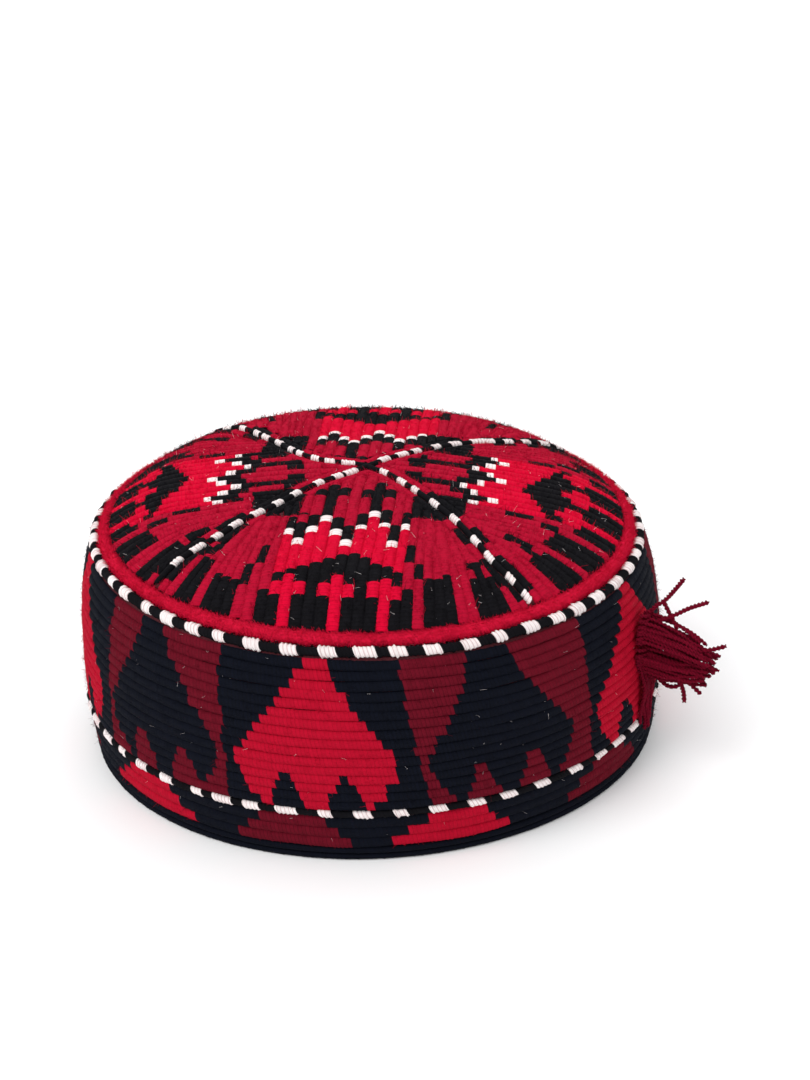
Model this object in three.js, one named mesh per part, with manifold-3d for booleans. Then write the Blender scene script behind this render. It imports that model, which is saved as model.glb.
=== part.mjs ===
// An embroidered Afghan cap: a corded side band, a low domed crown, dashed cords on the seams
// and a thread tassel. Millimetres, +Z up, the cap stands on its hem. -Y is the side that is
// looked at, +X the side of the tassel. The origin is the middle of the whole outline, on the
// plane that the hem rests on.
import * as THREE from "three";
import { mergeVertices } from "three/addons/utils/BufferGeometryUtils.js";
import Module from "manifold-3d";

// Driving dimensions
const SEAM_RADIUS = 91.3; // middle of the piping between crown and band
const SEAM_HEIGHT = 70.8;
const CROWN_RISE = 20.4; // middle of the crown above the piping
const CROWN_THICKNESS = 3; // cloth with its padding cords
const BAND_THICKNESS = 3.5;
const PIPING_RADIUS = 2.3;
const RIM_CORD_RADIUS = 2.1; // fuzzy cord inside the piping
const UPPER_ROWS = 16; // embroidered cords above the dashed one
const LOWER_ROWS = 3; // embroidered cords below it
const DASHED_CORD_HEIGHT = 17.8;
const DASHED_CORD_RADIUS = 1.7;
const BINDING_HEIGHT = 4.7; // hem binding, folded round the wall's lower edge
const BINDING_BULGE = 0.6; // how far the binding stands out of the wall
const DIVIDER_WIDTH = 3; // dashed cords that quarter the crown
const DIVIDER_THICKNESS = 1.5;
const TASSEL_REACH = 29; // out of the wall
const TASSEL_ROOT_HEIGHT = 22;
const TASSEL_ROOT_WIDTH = 13;
const TASSEL_HEIGHT = 45; // middle of its root above the floor
const TASSEL_AZIMUTH = 62; // degrees from the front towards +X
const SEAT_GAP = 0.3; // between pieces that touch
const ROUND_STEPS = 52; // flats round the cap
const CORD_SIDES = 8;

// Hand-made unevenness: the seam drops towards +X and rises towards the back, per mm of distance.
const LEAN = { x: -0.03, y: 0.025 };

// Half the height of a row's ridge, crest to groove
const RIDGE = 0.4;

// Outer face of the side band: height as a share of the seam's, radius as a share of the seam's
const BAND_OUTLINE = [
  { height: 0.0, radius: 1.058 },
  { height: 0.25, radius: 1.079 },
  { height: 0.44, radius: 1.08 },
  { height: 0.63, radius: 1.073 },
  { height: 0.84, radius: 1.05 },
  { height: 1.0, radius: 1.015 },
];

// Top of the crown: radius as a share of the seam's, height as a share of the crown's rise
const CROWN_OUTLINE = [
  { radius: 0.0, height: 1.0 },
  { radius: 0.25, height: 0.965 },
  { radius: 0.45, height: 0.87 },
  { radius: 0.62, height: 0.765 },
  { radius: 0.76, height: 0.64 },
  { radius: 0.87, height: 0.42 },
  { radius: 0.95, height: 0.19 },
  { radius: 1.0, height: 0.0 },
];
const CROWN_STEPS = 11;
const CROWN_INNER_STEPS = 7;

// Dashed cords on the crown, by where they reach the rim, in degrees from the front towards +X
const DIVIDERS = [
  { name: "divider_cord_front_right", azimuth: 35 },
  { name: "divider_cord_back_right", azimuth: 124 },
  { name: "divider_cord_back_left", azimuth: 224 },
  { name: "divider_cord_front_left", azimuth: 309 },
];
const DIVIDER_STEPS = 10;
const DIVIDER_SIDES = 6;

// Locks of the tassel. up and along place the root in shares of half the root's height and
// width, tipUp and tipAlong the tip. reach is a share of the tassel's, and root and tip are
// radii in shares of half the root's width.
const TASSEL_LOCKS = [
  { up: 0.62, along: 0.0, tipUp: 0.1, tipAlong: 0.1, reach: 0.86, root: 0.62, tip: 0.31 },
  { up: 0.35, along: 0.5, tipUp: 0.35, tipAlong: 0.5, reach: 0.78, root: 0.55, tip: 0.28 },
  { up: 0.35, along: -0.5, tipUp: 0.05, tipAlong: -0.5, reach: 0.9, root: 0.55, tip: 0.28 },
  { up: 0.0, along: 0.0, tipUp: -0.25, tipAlong: 0.1, reach: 1.0, root: 0.68, tip: 0.34 },
  { up: -0.3, along: 0.5, tipUp: -0.4, tipAlong: 0.5, reach: 0.92, root: 0.55, tip: 0.28 },
  { up: -0.3, along: -0.5, tipUp: -0.55, tipAlong: -0.4, reach: 0.95, root: 0.55, tip: 0.28 },
  { up: -0.65, along: 0.1, tipUp: -0.8, tipAlong: 0.2, reach: 0.72, root: 0.55, tip: 0.25 },
  { up: 0.6, along: -0.3, tipUp: 1.35, tipAlong: -0.4, reach: 0.52, root: 0.25, tip: 0.12 },
  { up: 0.6, along: 0.2, tipUp: 0.95, tipAlong: 0.2, reach: 0.8, root: 0.25, tip: 0.12 },
];
const LOCK_STEPS = 4;
const LOCK_SIDES = 6;
const LOCK_END_SHARE = 0.6; // a lock's last ring against the radius of its tip
const HEAD_DEPTH = 0.54 * TASSEL_ROOT_WIDTH; // root of the tassel, out of the wall

// The strand that lies down the wall
const STRAND_RADIUS = 0.1 * TASSEL_ROOT_WIDTH;
const STRAND_FOOT = 14; // height of its tip above the floor
const STRAND_CLEARANCE = 1.9; // from the wall, so that it passes over the dashed cord
const STRAND_DRIFT = 1; // how far its tip lies to the side of its root

const COLOURS = {
  crimson: "#b3122f",
  white: "#e9dcdc",
  maroon: "#6a1024",
  black: "#12141c",
  tassel: "#6f0d22",
};

// Value at x of a table's column, with a smooth curve through its rows.
function smoothValue(rows, key, column, x) {
  const last = rows.length - 2;
  const found = rows.findIndex((row, k) => k <= last && x <= rows[k + 1][key]);
  const i = found < 0 ? last : found;
  const slope = (k) => (rows[k + 1][column] - rows[k][column]) / (rows[k + 1][key] - rows[k][key]);
  const slopeAt = (k) => (slope(Math.max(k - 1, 0)) + slope(Math.min(k, last))) / 2;
  const span = rows[i + 1][key] - rows[i][key];
  const t = (x - rows[i][key]) / span;
  return (
    rows[i][column] * (2 * t ** 3 - 3 * t ** 2 + 1) +
    slopeAt(i) * span * (t ** 3 - 2 * t ** 2 + t) +
    rows[i + 1][column] * (3 * t ** 2 - 2 * t ** 3) +
    slopeAt(i + 1) * span * (t ** 3 - t ** 2)
  );
}

const bandRadius = (z) => SEAM_RADIUS * smoothValue(BAND_OUTLINE, "height", "radius", z / SEAM_HEIGHT);

const crownHeight = (r) =>
  SEAM_HEIGHT + CROWN_RISE * smoothValue(CROWN_OUTLINE, "radius", "height", r / SEAM_RADIUS);

// A point from its distance to the cap's axis, its azimuth in radians and its height.
const placed = (r, azimuth, z) => new THREE.Vector3(r * Math.sin(azimuth), -r * Math.cos(azimuth), z);

// Leans the seam and the crown over the level hem.
function leaned(geometry) {
  const p = geometry.getAttribute("position");
  for (let i = 0; i < p.count; i += 1) {
    const share = Math.min(p.getZ(i) / SEAM_HEIGHT, 1);
    p.setZ(i, p.getZ(i) + share * (LEAN.x * p.getX(i) + LEAN.y * p.getY(i)));
  }
  geometry.computeVertexNormals();
  return geometry;
}

// A ring or dome from a profile of [radius, height] pairs.
function turned(profile) {
  const points = profile.map(([r, z]) => new THREE.Vector2(r, z));
  const geometry = new THREE.LatheGeometry(points, ROUND_STEPS);
  geometry.rotateX(Math.PI / 2);
  return leaned(geometry);
}

const closed = (profile) => [...profile, profile[0]];

// A cord that goes round the cap.
function ringCord(ringRadius, height, radius) {
  const corner = (k) => (2 * Math.PI * (k + 0.5)) / CORD_SIDES;
  const profile = Array.from({ length: CORD_SIDES }, (_, k) => [
    ringRadius + radius * Math.cos(corner(k)),
    height + radius * Math.sin(corner(k)),
  ]);
  return turned(closed(profile));
}

// A closed body from rings of points with the same count, one after the other.
function lofted(rings) {
  const sides = rings[0].length;
  const middle = (ring) => ring.reduce((sum, p) => sum.add(p), new THREE.Vector3()).divideScalar(sides);
  const points = [...rings.flat(), middle(rings[0]), middle(rings[rings.length - 1])];
  const startPole = points.length - 2;
  const endPole = points.length - 1;
  const index = [];
  const lastRing = (rings.length - 1) * sides;
  for (let k = 0; k < sides; k += 1) {
    const next = (k + 1) % sides;
    for (let base = 0; base < lastRing; base += sides) {
      index.push(base + k, base + next, base + sides + k);
      index.push(base + next, base + sides + next, base + sides + k);
    }
    index.push(startPole, next, k);
    index.push(endPole, lastRing + k, lastRing + next);
  }
  const geometry = new THREE.BufferGeometry().setFromPoints(points);
  geometry.setIndex(index);
  return geometry;
}

// A ring of points round a centre, in the plane of two half-axes.
function sectionRing(centre, across, up, sides) {
  return Array.from({ length: sides }, (_, k) => {
    const angle = (2 * Math.PI * k) / sides;
    return centre
      .clone()
      .addScaledVector(across, Math.cos(angle))
      .addScaledVector(up, Math.sin(angle));
  });
}

function seamPiping() {
  return ringCord(SEAM_RADIUS, SEAM_HEIGHT, PIPING_RADIUS);
}

// The rim cord lies inside the piping and a little above it.
const RIM_REACH = PIPING_RADIUS + RIM_CORD_RADIUS + SEAT_GAP;
const RIM_RISE = 0.55 * RIM_REACH;
const RIM_RADIUS = SEAM_RADIUS - Math.sqrt(RIM_REACH ** 2 - RIM_RISE ** 2);

function crownRimCord() {
  return ringCord(RIM_RADIUS, SEAM_HEIGHT + RIM_RISE, RIM_CORD_RADIUS);
}

const CROWN_EDGE = RIM_RADIUS - RIM_CORD_RADIUS - SEAT_GAP;

function crownPanel() {
  const outer = Array.from({ length: CROWN_STEPS + 1 }, (_, k) => {
    const r = (CROWN_EDGE * (CROWN_STEPS - k)) / CROWN_STEPS;
    return [r, crownHeight(r)];
  });
  const inner = Array.from({ length: CROWN_INNER_STEPS + 1 }, (_, k) => {
    const r = (CROWN_EDGE * k) / CROWN_INNER_STEPS;
    return [r, crownHeight(r) - CROWN_THICKNESS];
  });
  return turned([...inner, ...outer]);
}

// Half a dashed cord of the crown's cross, from beside the crossing to the rim cord.
function dividerCord(azimuthDegrees) {
  const azimuth = THREE.MathUtils.degToRad(azimuthDegrees);
  const start = DIVIDER_WIDTH;
  const end = CROWN_EDGE - SEAT_GAP;
  const along = placed(1, azimuth, 0);
  const across = new THREE.Vector3(-along.y, along.x, 0);
  const rings = Array.from({ length: DIVIDER_STEPS + 1 }, (_, k) => {
    const r = start + ((end - start) * k) / DIVIDER_STEPS;
    const slope = crownHeight(r + 0.5) - crownHeight(r - 0.5);
    const normal = along.clone().multiplyScalar(-slope).setZ(1).normalize();
    const lift = SEAT_GAP + DIVIDER_THICKNESS / 2;
    const centre = placed(r, azimuth, crownHeight(r)).addScaledVector(normal, lift);
    const half = across.clone().multiplyScalar(DIVIDER_WIDTH / 2);
    return sectionRing(centre, half, normal.multiplyScalar(DIVIDER_THICKNESS / 2), DIVIDER_SIDES);
  });
  return leaned(lofted(rings));
}

const BAND_TOP = SEAM_HEIGHT - PIPING_RADIUS - SEAT_GAP;
const BAND_FOOT = BINDING_HEIGHT + SEAT_GAP;
const GROOVE_HALF = DASHED_CORD_RADIUS + SEAT_GAP;
const GROOVE_DEPTH = 2.2; // bed of the dashed cord in the wall

// Grooves and crests of a run of embroidered rows, from one height up to another.
function ridgedRows(from, to, rows) {
  const pitch = (to - from) / rows;
  return Array.from({ length: 2 * rows + 1 }, (_, k) => {
    const z = from + (k * pitch) / 2;
    return [bandRadius(z) + (k % 2 ? RIDGE : -RIDGE), z];
  });
}

function sideBand() {
  const grooveLow = DASHED_CORD_HEIGHT - GROOVE_HALF;
  const grooveHigh = DASHED_CORD_HEIGHT + GROOVE_HALF;
  const outer = [
    ...ridgedRows(BAND_FOOT, grooveLow, LOWER_ROWS),
    [bandRadius(grooveLow) - GROOVE_DEPTH, grooveLow],
    [bandRadius(grooveHigh) - GROOVE_DEPTH, grooveHigh],
    ...ridgedRows(grooveHigh, BAND_TOP, UPPER_ROWS),
  ];
  const innerHeights = [1, 0.75, 0.5, 0.25, 0].map((t) => BAND_FOOT + t * (BAND_TOP - BAND_FOOT));
  const inner = innerHeights.map((z) => [bandRadius(z) - BAND_THICKNESS, z]);
  return turned(closed([...outer, ...inner]));
}

function lowerDashedCord() {
  const bed = bandRadius(DASHED_CORD_HEIGHT) - GROOVE_DEPTH + SEAT_GAP;
  return ringCord(bed + DASHED_CORD_RADIUS, DASHED_CORD_HEIGHT, DASHED_CORD_RADIUS);
}

// The binding has a flat foot and a rolled outer face.
function hemBinding() {
  const outer = bandRadius(0) + BINDING_BULGE;
  const inner = bandRadius(0) - BAND_THICKNESS - BINDING_BULGE / 2;
  const profile = [
    [inner, 0],
    [outer - BINDING_BULGE, 0],
    [outer, 0.25 * BINDING_HEIGHT],
    [outer, 0.75 * BINDING_HEIGHT],
    [outer - BINDING_BULGE, BINDING_HEIGHT],
    [inner, BINDING_HEIGHT],
  ];
  return turned(closed(profile));
}

// The tassel's own frame at the wall: out of it, along it and up.
const TASSEL_OUT = placed(1, THREE.MathUtils.degToRad(TASSEL_AZIMUTH), 0);
const TASSEL_ALONG = new THREE.Vector3(-TASSEL_OUT.y, TASSEL_OUT.x, 0);

function tasselPoint(out, along, up) {
  const wall = bandRadius(TASSEL_HEIGHT) + RIDGE;
  return TASSEL_OUT.clone()
    .multiplyScalar(wall + out)
    .addScaledVector(TASSEL_ALONG, along)
    .setZ(TASSEL_HEIGHT + up);
}

// A tapered lock that follows a curve, its last ring smaller than its tip.
function lock(curve, rootRadius, tipRadius) {
  const rings = Array.from({ length: LOCK_STEPS + 1 }, (_, k) => {
    const t = k / LOCK_STEPS;
    const way = curve.getTangent(t);
    const across = new THREE.Vector3(-way.y, way.x, 0).normalize();
    const up = new THREE.Vector3().crossVectors(across, way).negate();
    const radius = THREE.MathUtils.lerp(rootRadius, tipRadius, t);
    const size = k === LOCK_STEPS ? radius * LOCK_END_SHARE : radius;
    return sectionRing(curve.getPoint(t), across.multiplyScalar(size), up.multiplyScalar(size), LOCK_SIDES);
  });
  return lofted(rings);
}

function tasselLock({ up, along, tipUp, tipAlong, reach, root, tip }) {
  const halfHeight = TASSEL_ROOT_HEIGHT / 2;
  const halfWidth = TASSEL_ROOT_WIDTH / 2;
  const start = tasselPoint(HEAD_DEPTH / 2, along * halfWidth, up * halfHeight);
  const end = tasselPoint(reach * TASSEL_REACH, tipAlong * halfWidth, tipUp * halfHeight);
  const bend = tasselPoint(0.5 * reach * TASSEL_REACH, along * halfWidth, up * halfHeight);
  const curve = new THREE.QuadraticBezierCurve3(start, bend, end);
  return lock(curve, root * halfWidth, tip * halfWidth);
}

// The strand that lies down the wall over the lower dashed cord.
function hangingStrand() {
  const down = STRAND_FOOT - TASSEL_HEIGHT;
  const lift = STRAND_RADIUS + STRAND_CLEARANCE;
  const start = tasselPoint(HEAD_DEPTH / 2, 0, -0.6 * (TASSEL_ROOT_HEIGHT / 2));
  const bend = tasselPoint(lift, 0, 0.45 * down);
  const end = tasselPoint(lift, STRAND_DRIFT, down);
  return lock(new THREE.QuadraticBezierCurve3(start, bend, end), 2 * STRAND_RADIUS, STRAND_RADIUS);
}

function tasselHead() {
  const geometry = new THREE.SphereGeometry(1, 12, 8);
  geometry.scale(HEAD_DEPTH / 2, TASSEL_ROOT_WIDTH / 2, TASSEL_ROOT_HEIGHT / 2);
  geometry.rotateZ(Math.atan2(TASSEL_OUT.y, TASSEL_OUT.x));
  const centre = tasselPoint(HEAD_DEPTH / 2 + SEAT_GAP, 0, 0);
  geometry.translate(centre.x, centre.y, centre.z);
  return geometry;
}

const wasm = await Module();
wasm.setup();

function solidOf(geometry) {
  const bare = geometry.index ? geometry.toNonIndexed() : geometry.clone();
  bare.deleteAttribute("normal");
  bare.deleteAttribute("uv");
  const merged = mergeVertices(bare, 1e-4);
  const vertProperties = merged.getAttribute("position").array;
  return new wasm.Manifold(
    new wasm.Mesh({ numProp: 3, vertProperties, triVerts: new Uint32Array(merged.index.array) }),
  );
}

function geometryOf(solid) {
  const { vertProperties, triVerts } = solid.getMesh();
  const geometry = new THREE.BufferGeometry();
  geometry.setAttribute("position", new THREE.BufferAttribute(vertProperties, 3));
  geometry.setIndex(new THREE.BufferAttribute(triVerts, 1));
  return geometry;
}

function sideTassel() {
  const pieces = [...TASSEL_LOCKS.map(tasselLock), hangingStrand()].map(solidOf);
  const fused = pieces.reduce((whole, piece) => whole.add(piece), solidOf(tasselHead()));
  return leaned(geometryOf(fused));
}

function piece(name, colour, geometry) {
  const material = new THREE.MeshStandardMaterial({ color: colour, roughness: 0.9, metalness: 0 });
  const mesh = new THREE.Mesh(geometry, material);
  mesh.name = name;
  return mesh;
}

const cap = new THREE.Group();
cap.add(piece("crown_panel", COLOURS.crimson, crownPanel()));
DIVIDERS.forEach(({ name, azimuth }) => cap.add(piece(name, COLOURS.white, dividerCord(azimuth))));
cap.add(piece("crown_rim_cord", COLOURS.crimson, crownRimCord()));
cap.add(piece("seam_piping", COLOURS.white, seamPiping()));
cap.add(piece("side_band", COLOURS.maroon, sideBand()));
cap.add(piece("lower_dashed_cord", COLOURS.white, lowerDashedCord()));
cap.add(piece("hem_binding", COLOURS.black, hemBinding()));
cap.add(piece("side_tassel", COLOURS.tassel, sideTassel()));

// The tassel stands out on one side, so the pieces move over to centre the whole outline.
const outline = new THREE.Box3().setFromObject(cap);
const middle = outline.getCenter(new THREE.Vector3());
cap.children.forEach((mesh) => mesh.position.set(-middle.x, -middle.y, 0));

export default cap;
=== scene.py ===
"""Embroidered Afghan cap: wrapped cords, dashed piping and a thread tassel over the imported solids.

Sizes are in millimetres in the cap's own upright frame, with its axis at x = 0 and the front
towards -Y, and are turned into metres of the shared frame when a mesh is made. Azimuths are in
degrees from the front towards +X.
"""
import logging
import math
from dataclasses import dataclass
from enum import Enum, IntEnum

import bpy
import numpy as np
from bpy.types import Material, Node, NodeSocket, NodeTree
from mathutils import Matrix, Vector


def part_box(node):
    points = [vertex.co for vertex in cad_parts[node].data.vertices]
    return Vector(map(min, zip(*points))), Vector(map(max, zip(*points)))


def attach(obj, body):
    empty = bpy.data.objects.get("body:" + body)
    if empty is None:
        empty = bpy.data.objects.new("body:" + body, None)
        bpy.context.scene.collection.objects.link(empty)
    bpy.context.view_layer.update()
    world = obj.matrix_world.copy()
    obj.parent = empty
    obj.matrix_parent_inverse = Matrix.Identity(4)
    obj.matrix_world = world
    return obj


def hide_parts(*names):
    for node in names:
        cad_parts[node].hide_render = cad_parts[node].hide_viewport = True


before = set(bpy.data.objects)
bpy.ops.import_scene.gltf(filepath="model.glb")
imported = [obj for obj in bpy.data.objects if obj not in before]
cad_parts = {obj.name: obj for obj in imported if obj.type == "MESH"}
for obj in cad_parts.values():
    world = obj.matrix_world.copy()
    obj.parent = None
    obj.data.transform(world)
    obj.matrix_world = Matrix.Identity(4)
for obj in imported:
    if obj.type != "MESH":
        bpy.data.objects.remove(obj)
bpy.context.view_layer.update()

Array = np.ndarray
Random = np.random.Generator
LOG = logging.getLogger("cap")
MM = 0.001
SEED = 1890
STITCH_MAP = "stitch_mm"
MATHS = "ShaderNodeMath"
RANGE = "ShaderNodeMapRange"
# The columns of a cord or a thread stay between these parts of its own whole number in the map, so
# that the floss can read the number there and give each cord its own tones.
CORD_SPAN = (0.02, 0.98)
THREAD_SPAN = (0.1, 0.8)


class Dye(IntEnum):
    """Colours of the floss that wraps the cords."""

    BRIGHT_RED = 0
    CRIMSON = 1
    MAROON = 2
    BLACK = 3
    WHITE = 4


class Ground(Enum):
    """Which of the two kinds of field a sector of the side band has."""

    RED_ON_BLACK = (Dye.BRIGHT_RED, Dye.BLACK)
    BLACK_ON_MAROON = (Dye.BLACK, Dye.MAROON)

    @property
    def motif(self) -> Dye:
        """The dye of the motif."""
        return self.value[0]

    @property
    def field(self) -> Dye:
        """The dye round the motif."""
        return self.value[1]


def linear(hex_colour: str) -> tuple[float, float, float, float]:
    """Turn an sRGB hex colour into linear values.

    Args:
        hex_colour: Six hex digits after a hash.

    Returns:
        Linear red, green and blue, and an alpha of 1.
    """
    values = [int(hex_colour[k : k + 2], 16) / 255 for k in (1, 3, 5)]
    made = [v / 12.92 if v <= 0.04045 else ((v + 0.055) / 1.055) ** 2.4 for v in values]
    return (*made, 1.0)


def add_node(tree: NodeTree, kind: str, links: dict | None = None, **settings: object) -> Node:
    """Add a shader node with its settings and what feeds it.

    Args:
        tree: The material's node tree.
        kind: The node's type name.
        links: Input name or number to a value, to an output socket that feeds it, or to a node
            whose first output does.
        **settings: Properties of the node.

    Returns:
        The new node.
    """
    node = tree.nodes.new(kind)
    for name, value in settings.items():
        setattr(node, name, value)
    for key, value in (links or {}).items():
        if isinstance(value, Node):
            value = value.outputs[0]
        if isinstance(value, NodeSocket):
            tree.links.new(value, node.inputs[key])
        else:
            node.inputs[key].default_value = value
    return node


def empty_material(name: str) -> Material:
    """Make a material that has no nodes yet.

    Args:
        name: Its name.

    Returns:
        The material.
    """
    made = bpy.data.materials.new(name)
    made.use_nodes = True
    made.node_tree.nodes.clear()
    return made


def join_cloth(tree: NodeTree, deep: str, lit: str, share: Node, raised: dict, surface: dict) -> None:
    """Mix a cloth's two colours, raise its surface and join both to the output.

    Args:
        tree: The material's node tree.
        deep: Colour where the share is 0.
        lit: Colour where it is 1.
        share: Node that gives the share.
        raised: What feeds the bump.
        surface: What feeds the shader besides colour and bump.
    """
    mixed = {0: share, 6: linear(deep), 7: linear(lit)}
    colour = add_node(tree, "ShaderNodeMix", mixed, data_type="RGBA")
    bump = add_node(tree, "ShaderNodeBump", raised)
    look = {"Base Color": colour.outputs[2], "Normal": bump, **surface}
    shader = add_node(tree, "ShaderNodeBsdfPrincipled", look)
    add_node(tree, "ShaderNodeOutputMaterial", {"Surface": shader})


@dataclass(frozen=True)
class Floss:
    """Embroidery floss wrapped round a cord: several soft strands side by side, slightly silky.

    Attributes:
        name: Name of the material.
        lit: Colour of the crest of a strand.
        deep: Colour of the painted shade between strands and at the edges of a wrap, and of worn stitches.
        stitch_mm: Width of one wrap of the floss.
        strand_mm: Width of one strand of it, which shows as fine lines across the cord.
        fuzz_mm: Size of the clumps of loose fibre on it.
        roughness: Roughness of the floss.
        sheen: Weight of the soft light that loose fibres catch.
        specular: Level of the sharper reflection of the silk.
        tones: How much darker the darkest wrap is than the lightest, as a share.
        edge: Share of a wrap on either side of its edge that lies in the groove's shadow.
        strand_shade: Brightness of the painted shade between two strands, as a share of that on their
            crests.
        relief_mm: Height of a strand.
        fuzz_rise: Height of the clumps of fibre, as a share of a strand's.
        bump: Strength of the relief in the shading.
        sheen_roughness: Roughness of the sheen.
    """

    name: str
    lit: str
    deep: str
    stitch_mm: float = 1.25
    strand_mm: float = 0.42
    fuzz_mm: float = 0.5
    roughness: float = 0.85
    sheen: float = 0.02
    specular: float = 0.05
    tones: float = 0.28
    edge: float = 0.1
    strand_shade: float = 0.5
    relief_mm: float = 0.14
    fuzz_rise: float = 0.7
    bump: float = 0.6
    sheen_roughness: float = 0.5

    def material(self) -> Material:
        """Make the material: a tone for each stitch, strand lines and wrap edges in painted shade, and fuzz
        over both.

        Returns:
            The material.
        """
        made = empty_material(self.name)
        tree = made.node_tree
        uv = add_node(tree, "ShaderNodeUVMap", uv_map=STITCH_MAP)
        along, beside, _ = add_node(tree, "ShaderNodeSeparateXYZ", {0: uv}).outputs
        wraps = add_node(tree, MATHS, {0: along, 1: self.stitch_mm}, operation="DIVIDE")
        stitch = add_node(tree, MATHS, {0: wraps}, operation="FLOOR")
        cord = add_node(tree, MATHS, {0: beside}, operation="FLOOR")
        place = add_node(tree, "ShaderNodeCombineXYZ", {0: stitch, 1: cord})
        tone = add_node(tree, "ShaderNodeTexWhiteNoise", {"Vector": place}, noise_dimensions="2D")
        tones = add_node(tree, RANGE, {0: tone, 3: 1.0 - self.tones, 4: 1.0})
        clumps = {"Scale": 1.0 / (self.fuzz_mm * MM), "Detail": 3.0}
        fuzz = add_node(tree, "ShaderNodeTexNoise", clumps)
        # Painted shade: near each wrap's edge and between strands the colour goes towards the deep one, as
        # if the grooves were in shadow.
        edge = add_node(tree, MATHS, {0: wraps, 1: 0.5}, operation="PINGPONG")
        wrap = add_node(tree, RANGE, {0: edge, 2: self.edge, 3: 0.0, 4: 1.0})
        bent = add_node(tree, MATHS, {0: fuzz, 1: self.strand_mm, 2: along}, operation="MULTIPLY_ADD")
        turns = 2 * math.pi / self.strand_mm
        phase = add_node(tree, MATHS, {0: bent, 1: turns}, operation="MULTIPLY")
        wave = add_node(tree, MATHS, {0: phase}, operation="SINE")
        strands = add_node(tree, RANGE, {0: wave, 1: -1.0, 2: 1.0, 3: self.strand_shade, 4: 1.0})
        crests = add_node(tree, MATHS, {0: strands, 1: wrap}, operation="MULTIPLY")
        shade = add_node(tree, MATHS, {0: crests, 1: tones}, operation="MULTIPLY")
        height = add_node(tree, MATHS, {0: fuzz, 1: self.fuzz_rise, 2: crests}, operation="MULTIPLY_ADD")
        raised = {"Strength": self.bump, "Distance": self.relief_mm * MM, "Height": height}
        surface = {
            "Roughness": self.roughness,
            "Sheen Weight": self.sheen,
            "Sheen Roughness": self.sheen_roughness,
            "Sheen Tint": linear(self.lit),
            "Specular IOR Level": self.specular,
        }
        join_cloth(tree, self.deep, self.lit, shade, raised, surface)
        return made


# Cotton floss in the order of Dye: matt, with fine lines across the cord, and painted shade between
# its strands. The white one is a little silkier, and wider painted shade at the edges of its wraps
# sets them apart, so its dashes look ribbed.
FLOSSES = (
    Floss("cotton_floss_bright_red", "#de0534", "#b40327"),
    Floss("cotton_floss_crimson", "#ba0d31", "#920a26"),
    Floss("cotton_floss_maroon", "#6e1022", "#460814"),
    Floss("cotton_floss_black", "#121116", "#050405", specular=0.08),
    Floss("cotton_floss_white", "#fffaf8", "#cdb2b2", sheen=0.1, specular=0.2, tones=0.14, edge=0.2),
)
# The side band's colours of the same floss: a red painted darker, as shade for the weaker light on the
# upright band, and a black with a blue cast.
BAND_RED = Floss("cotton_floss_red_with_painted_shade", "#bb0d2c", "#920920")
BAND_BLACK = Floss("cotton_floss_blue_black", "#0b0f1c", "#040509", specular=0.08)
# Hard-twisted wool, with shade painted between its plies and in fine lines along its short wraps.
TASSEL_FLOSS = Floss("twisted_wool_dark_crimson", "#7c0b26", "#460614", stitch_mm=1.0, strand_mm=0.3)
# Brushed wool: rough, and lit from within by its loose fibres, so that the stitches under them blur.
WOOL_FUZZ = Floss(
    "fuzzy_wool_crimson", "#e41a42", "#bc1232", stitch_mm=0.9, strand_mm=0.5, roughness=0.9, sheen=0.06
)


@dataclass(frozen=True)
class PlainCloth:
    """Plain woven cotton of the inside, one thread over and one under.

    Attributes:
        name: Name of the material.
        lit: Colour of the crest of a thread.
        deep: Colour between threads, painted there as shade on those that pass under.
        thread_mm: Spacing of the threads.
        patch_mm: Size of its paler and darker patches.
        relief_mm: Height of a thread.
        bump: Strength of the relief in the shading.
        roughness: Roughness of the cotton.
    """

    name: str
    lit: str
    deep: str
    thread_mm: float = 0.6
    patch_mm: float = 4.0
    relief_mm: float = 0.1
    bump: float = 0.4
    roughness: float = 0.9

    def material(self) -> Material:
        """Make the material: crossed threads, with shade painted on those that pass under, and slow patches
        over them.

        Returns:
            The material.
        """
        made = empty_material(self.name)
        tree = made.node_tree
        uv = add_node(tree, "ShaderNodeUVMap", uv_map=STITCH_MAP)
        # Painted shade: the threads that pass under take the deep colour.
        weave = add_node(tree, "ShaderNodeTexChecker", {"Vector": uv, "Scale": 1.0 / self.thread_mm})
        over = weave.outputs[1]
        coarse = {"Scale": 1.0 / (self.patch_mm * MM), "Detail": 4.0}
        patches = add_node(tree, "ShaderNodeTexNoise", coarse)
        share = add_node(
            tree, MATHS, {0: over, 1: 0.5, 2: patches}, operation="MULTIPLY_ADD", use_clamp=True
        )
        raised = {"Strength": self.bump, "Distance": self.relief_mm * MM, "Height": over}
        join_cloth(tree, self.deep, self.lit, share, raised, {"Roughness": self.roughness})
        return made


# Plain cotton: a fine dull check of painted shade between its threads, which only shows close by.
INNER_CLOTH = PlainCloth("plain_cotton_dark_red", "#5a1420", "#2c0a10")


def smooth_value(table: tuple[tuple[float, float], ...], x: Array) -> Array:
    """Read a table with a smooth curve through its rows.

    Args:
        table: Rows of a place and a value, in order of place.
        x: Places to read.

    Returns:
        The values at x.
    """
    places, values = np.array(table).T
    slopes = np.diff(values) / np.diff(places)
    last = len(slopes) - 1
    i = np.clip(np.searchsorted(places, x, side="left") - 1, 0, last)
    slope_from = (slopes[np.maximum(i - 1, 0)] + slopes[i]) / 2
    slope_to = (slopes[i] + slopes[np.minimum(i + 1, last)]) / 2
    span = places[i + 1] - places[i]
    t = (x - places[i]) / span
    return (
        values[i] * (2 * t**3 - 3 * t**2 + 1)
        + slope_from * span * (t**3 - 2 * t**2 + t)
        + values[i + 1] * (3 * t**2 - 2 * t**3)
        + slope_to * span * (t**3 - t**2)
    )


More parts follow.
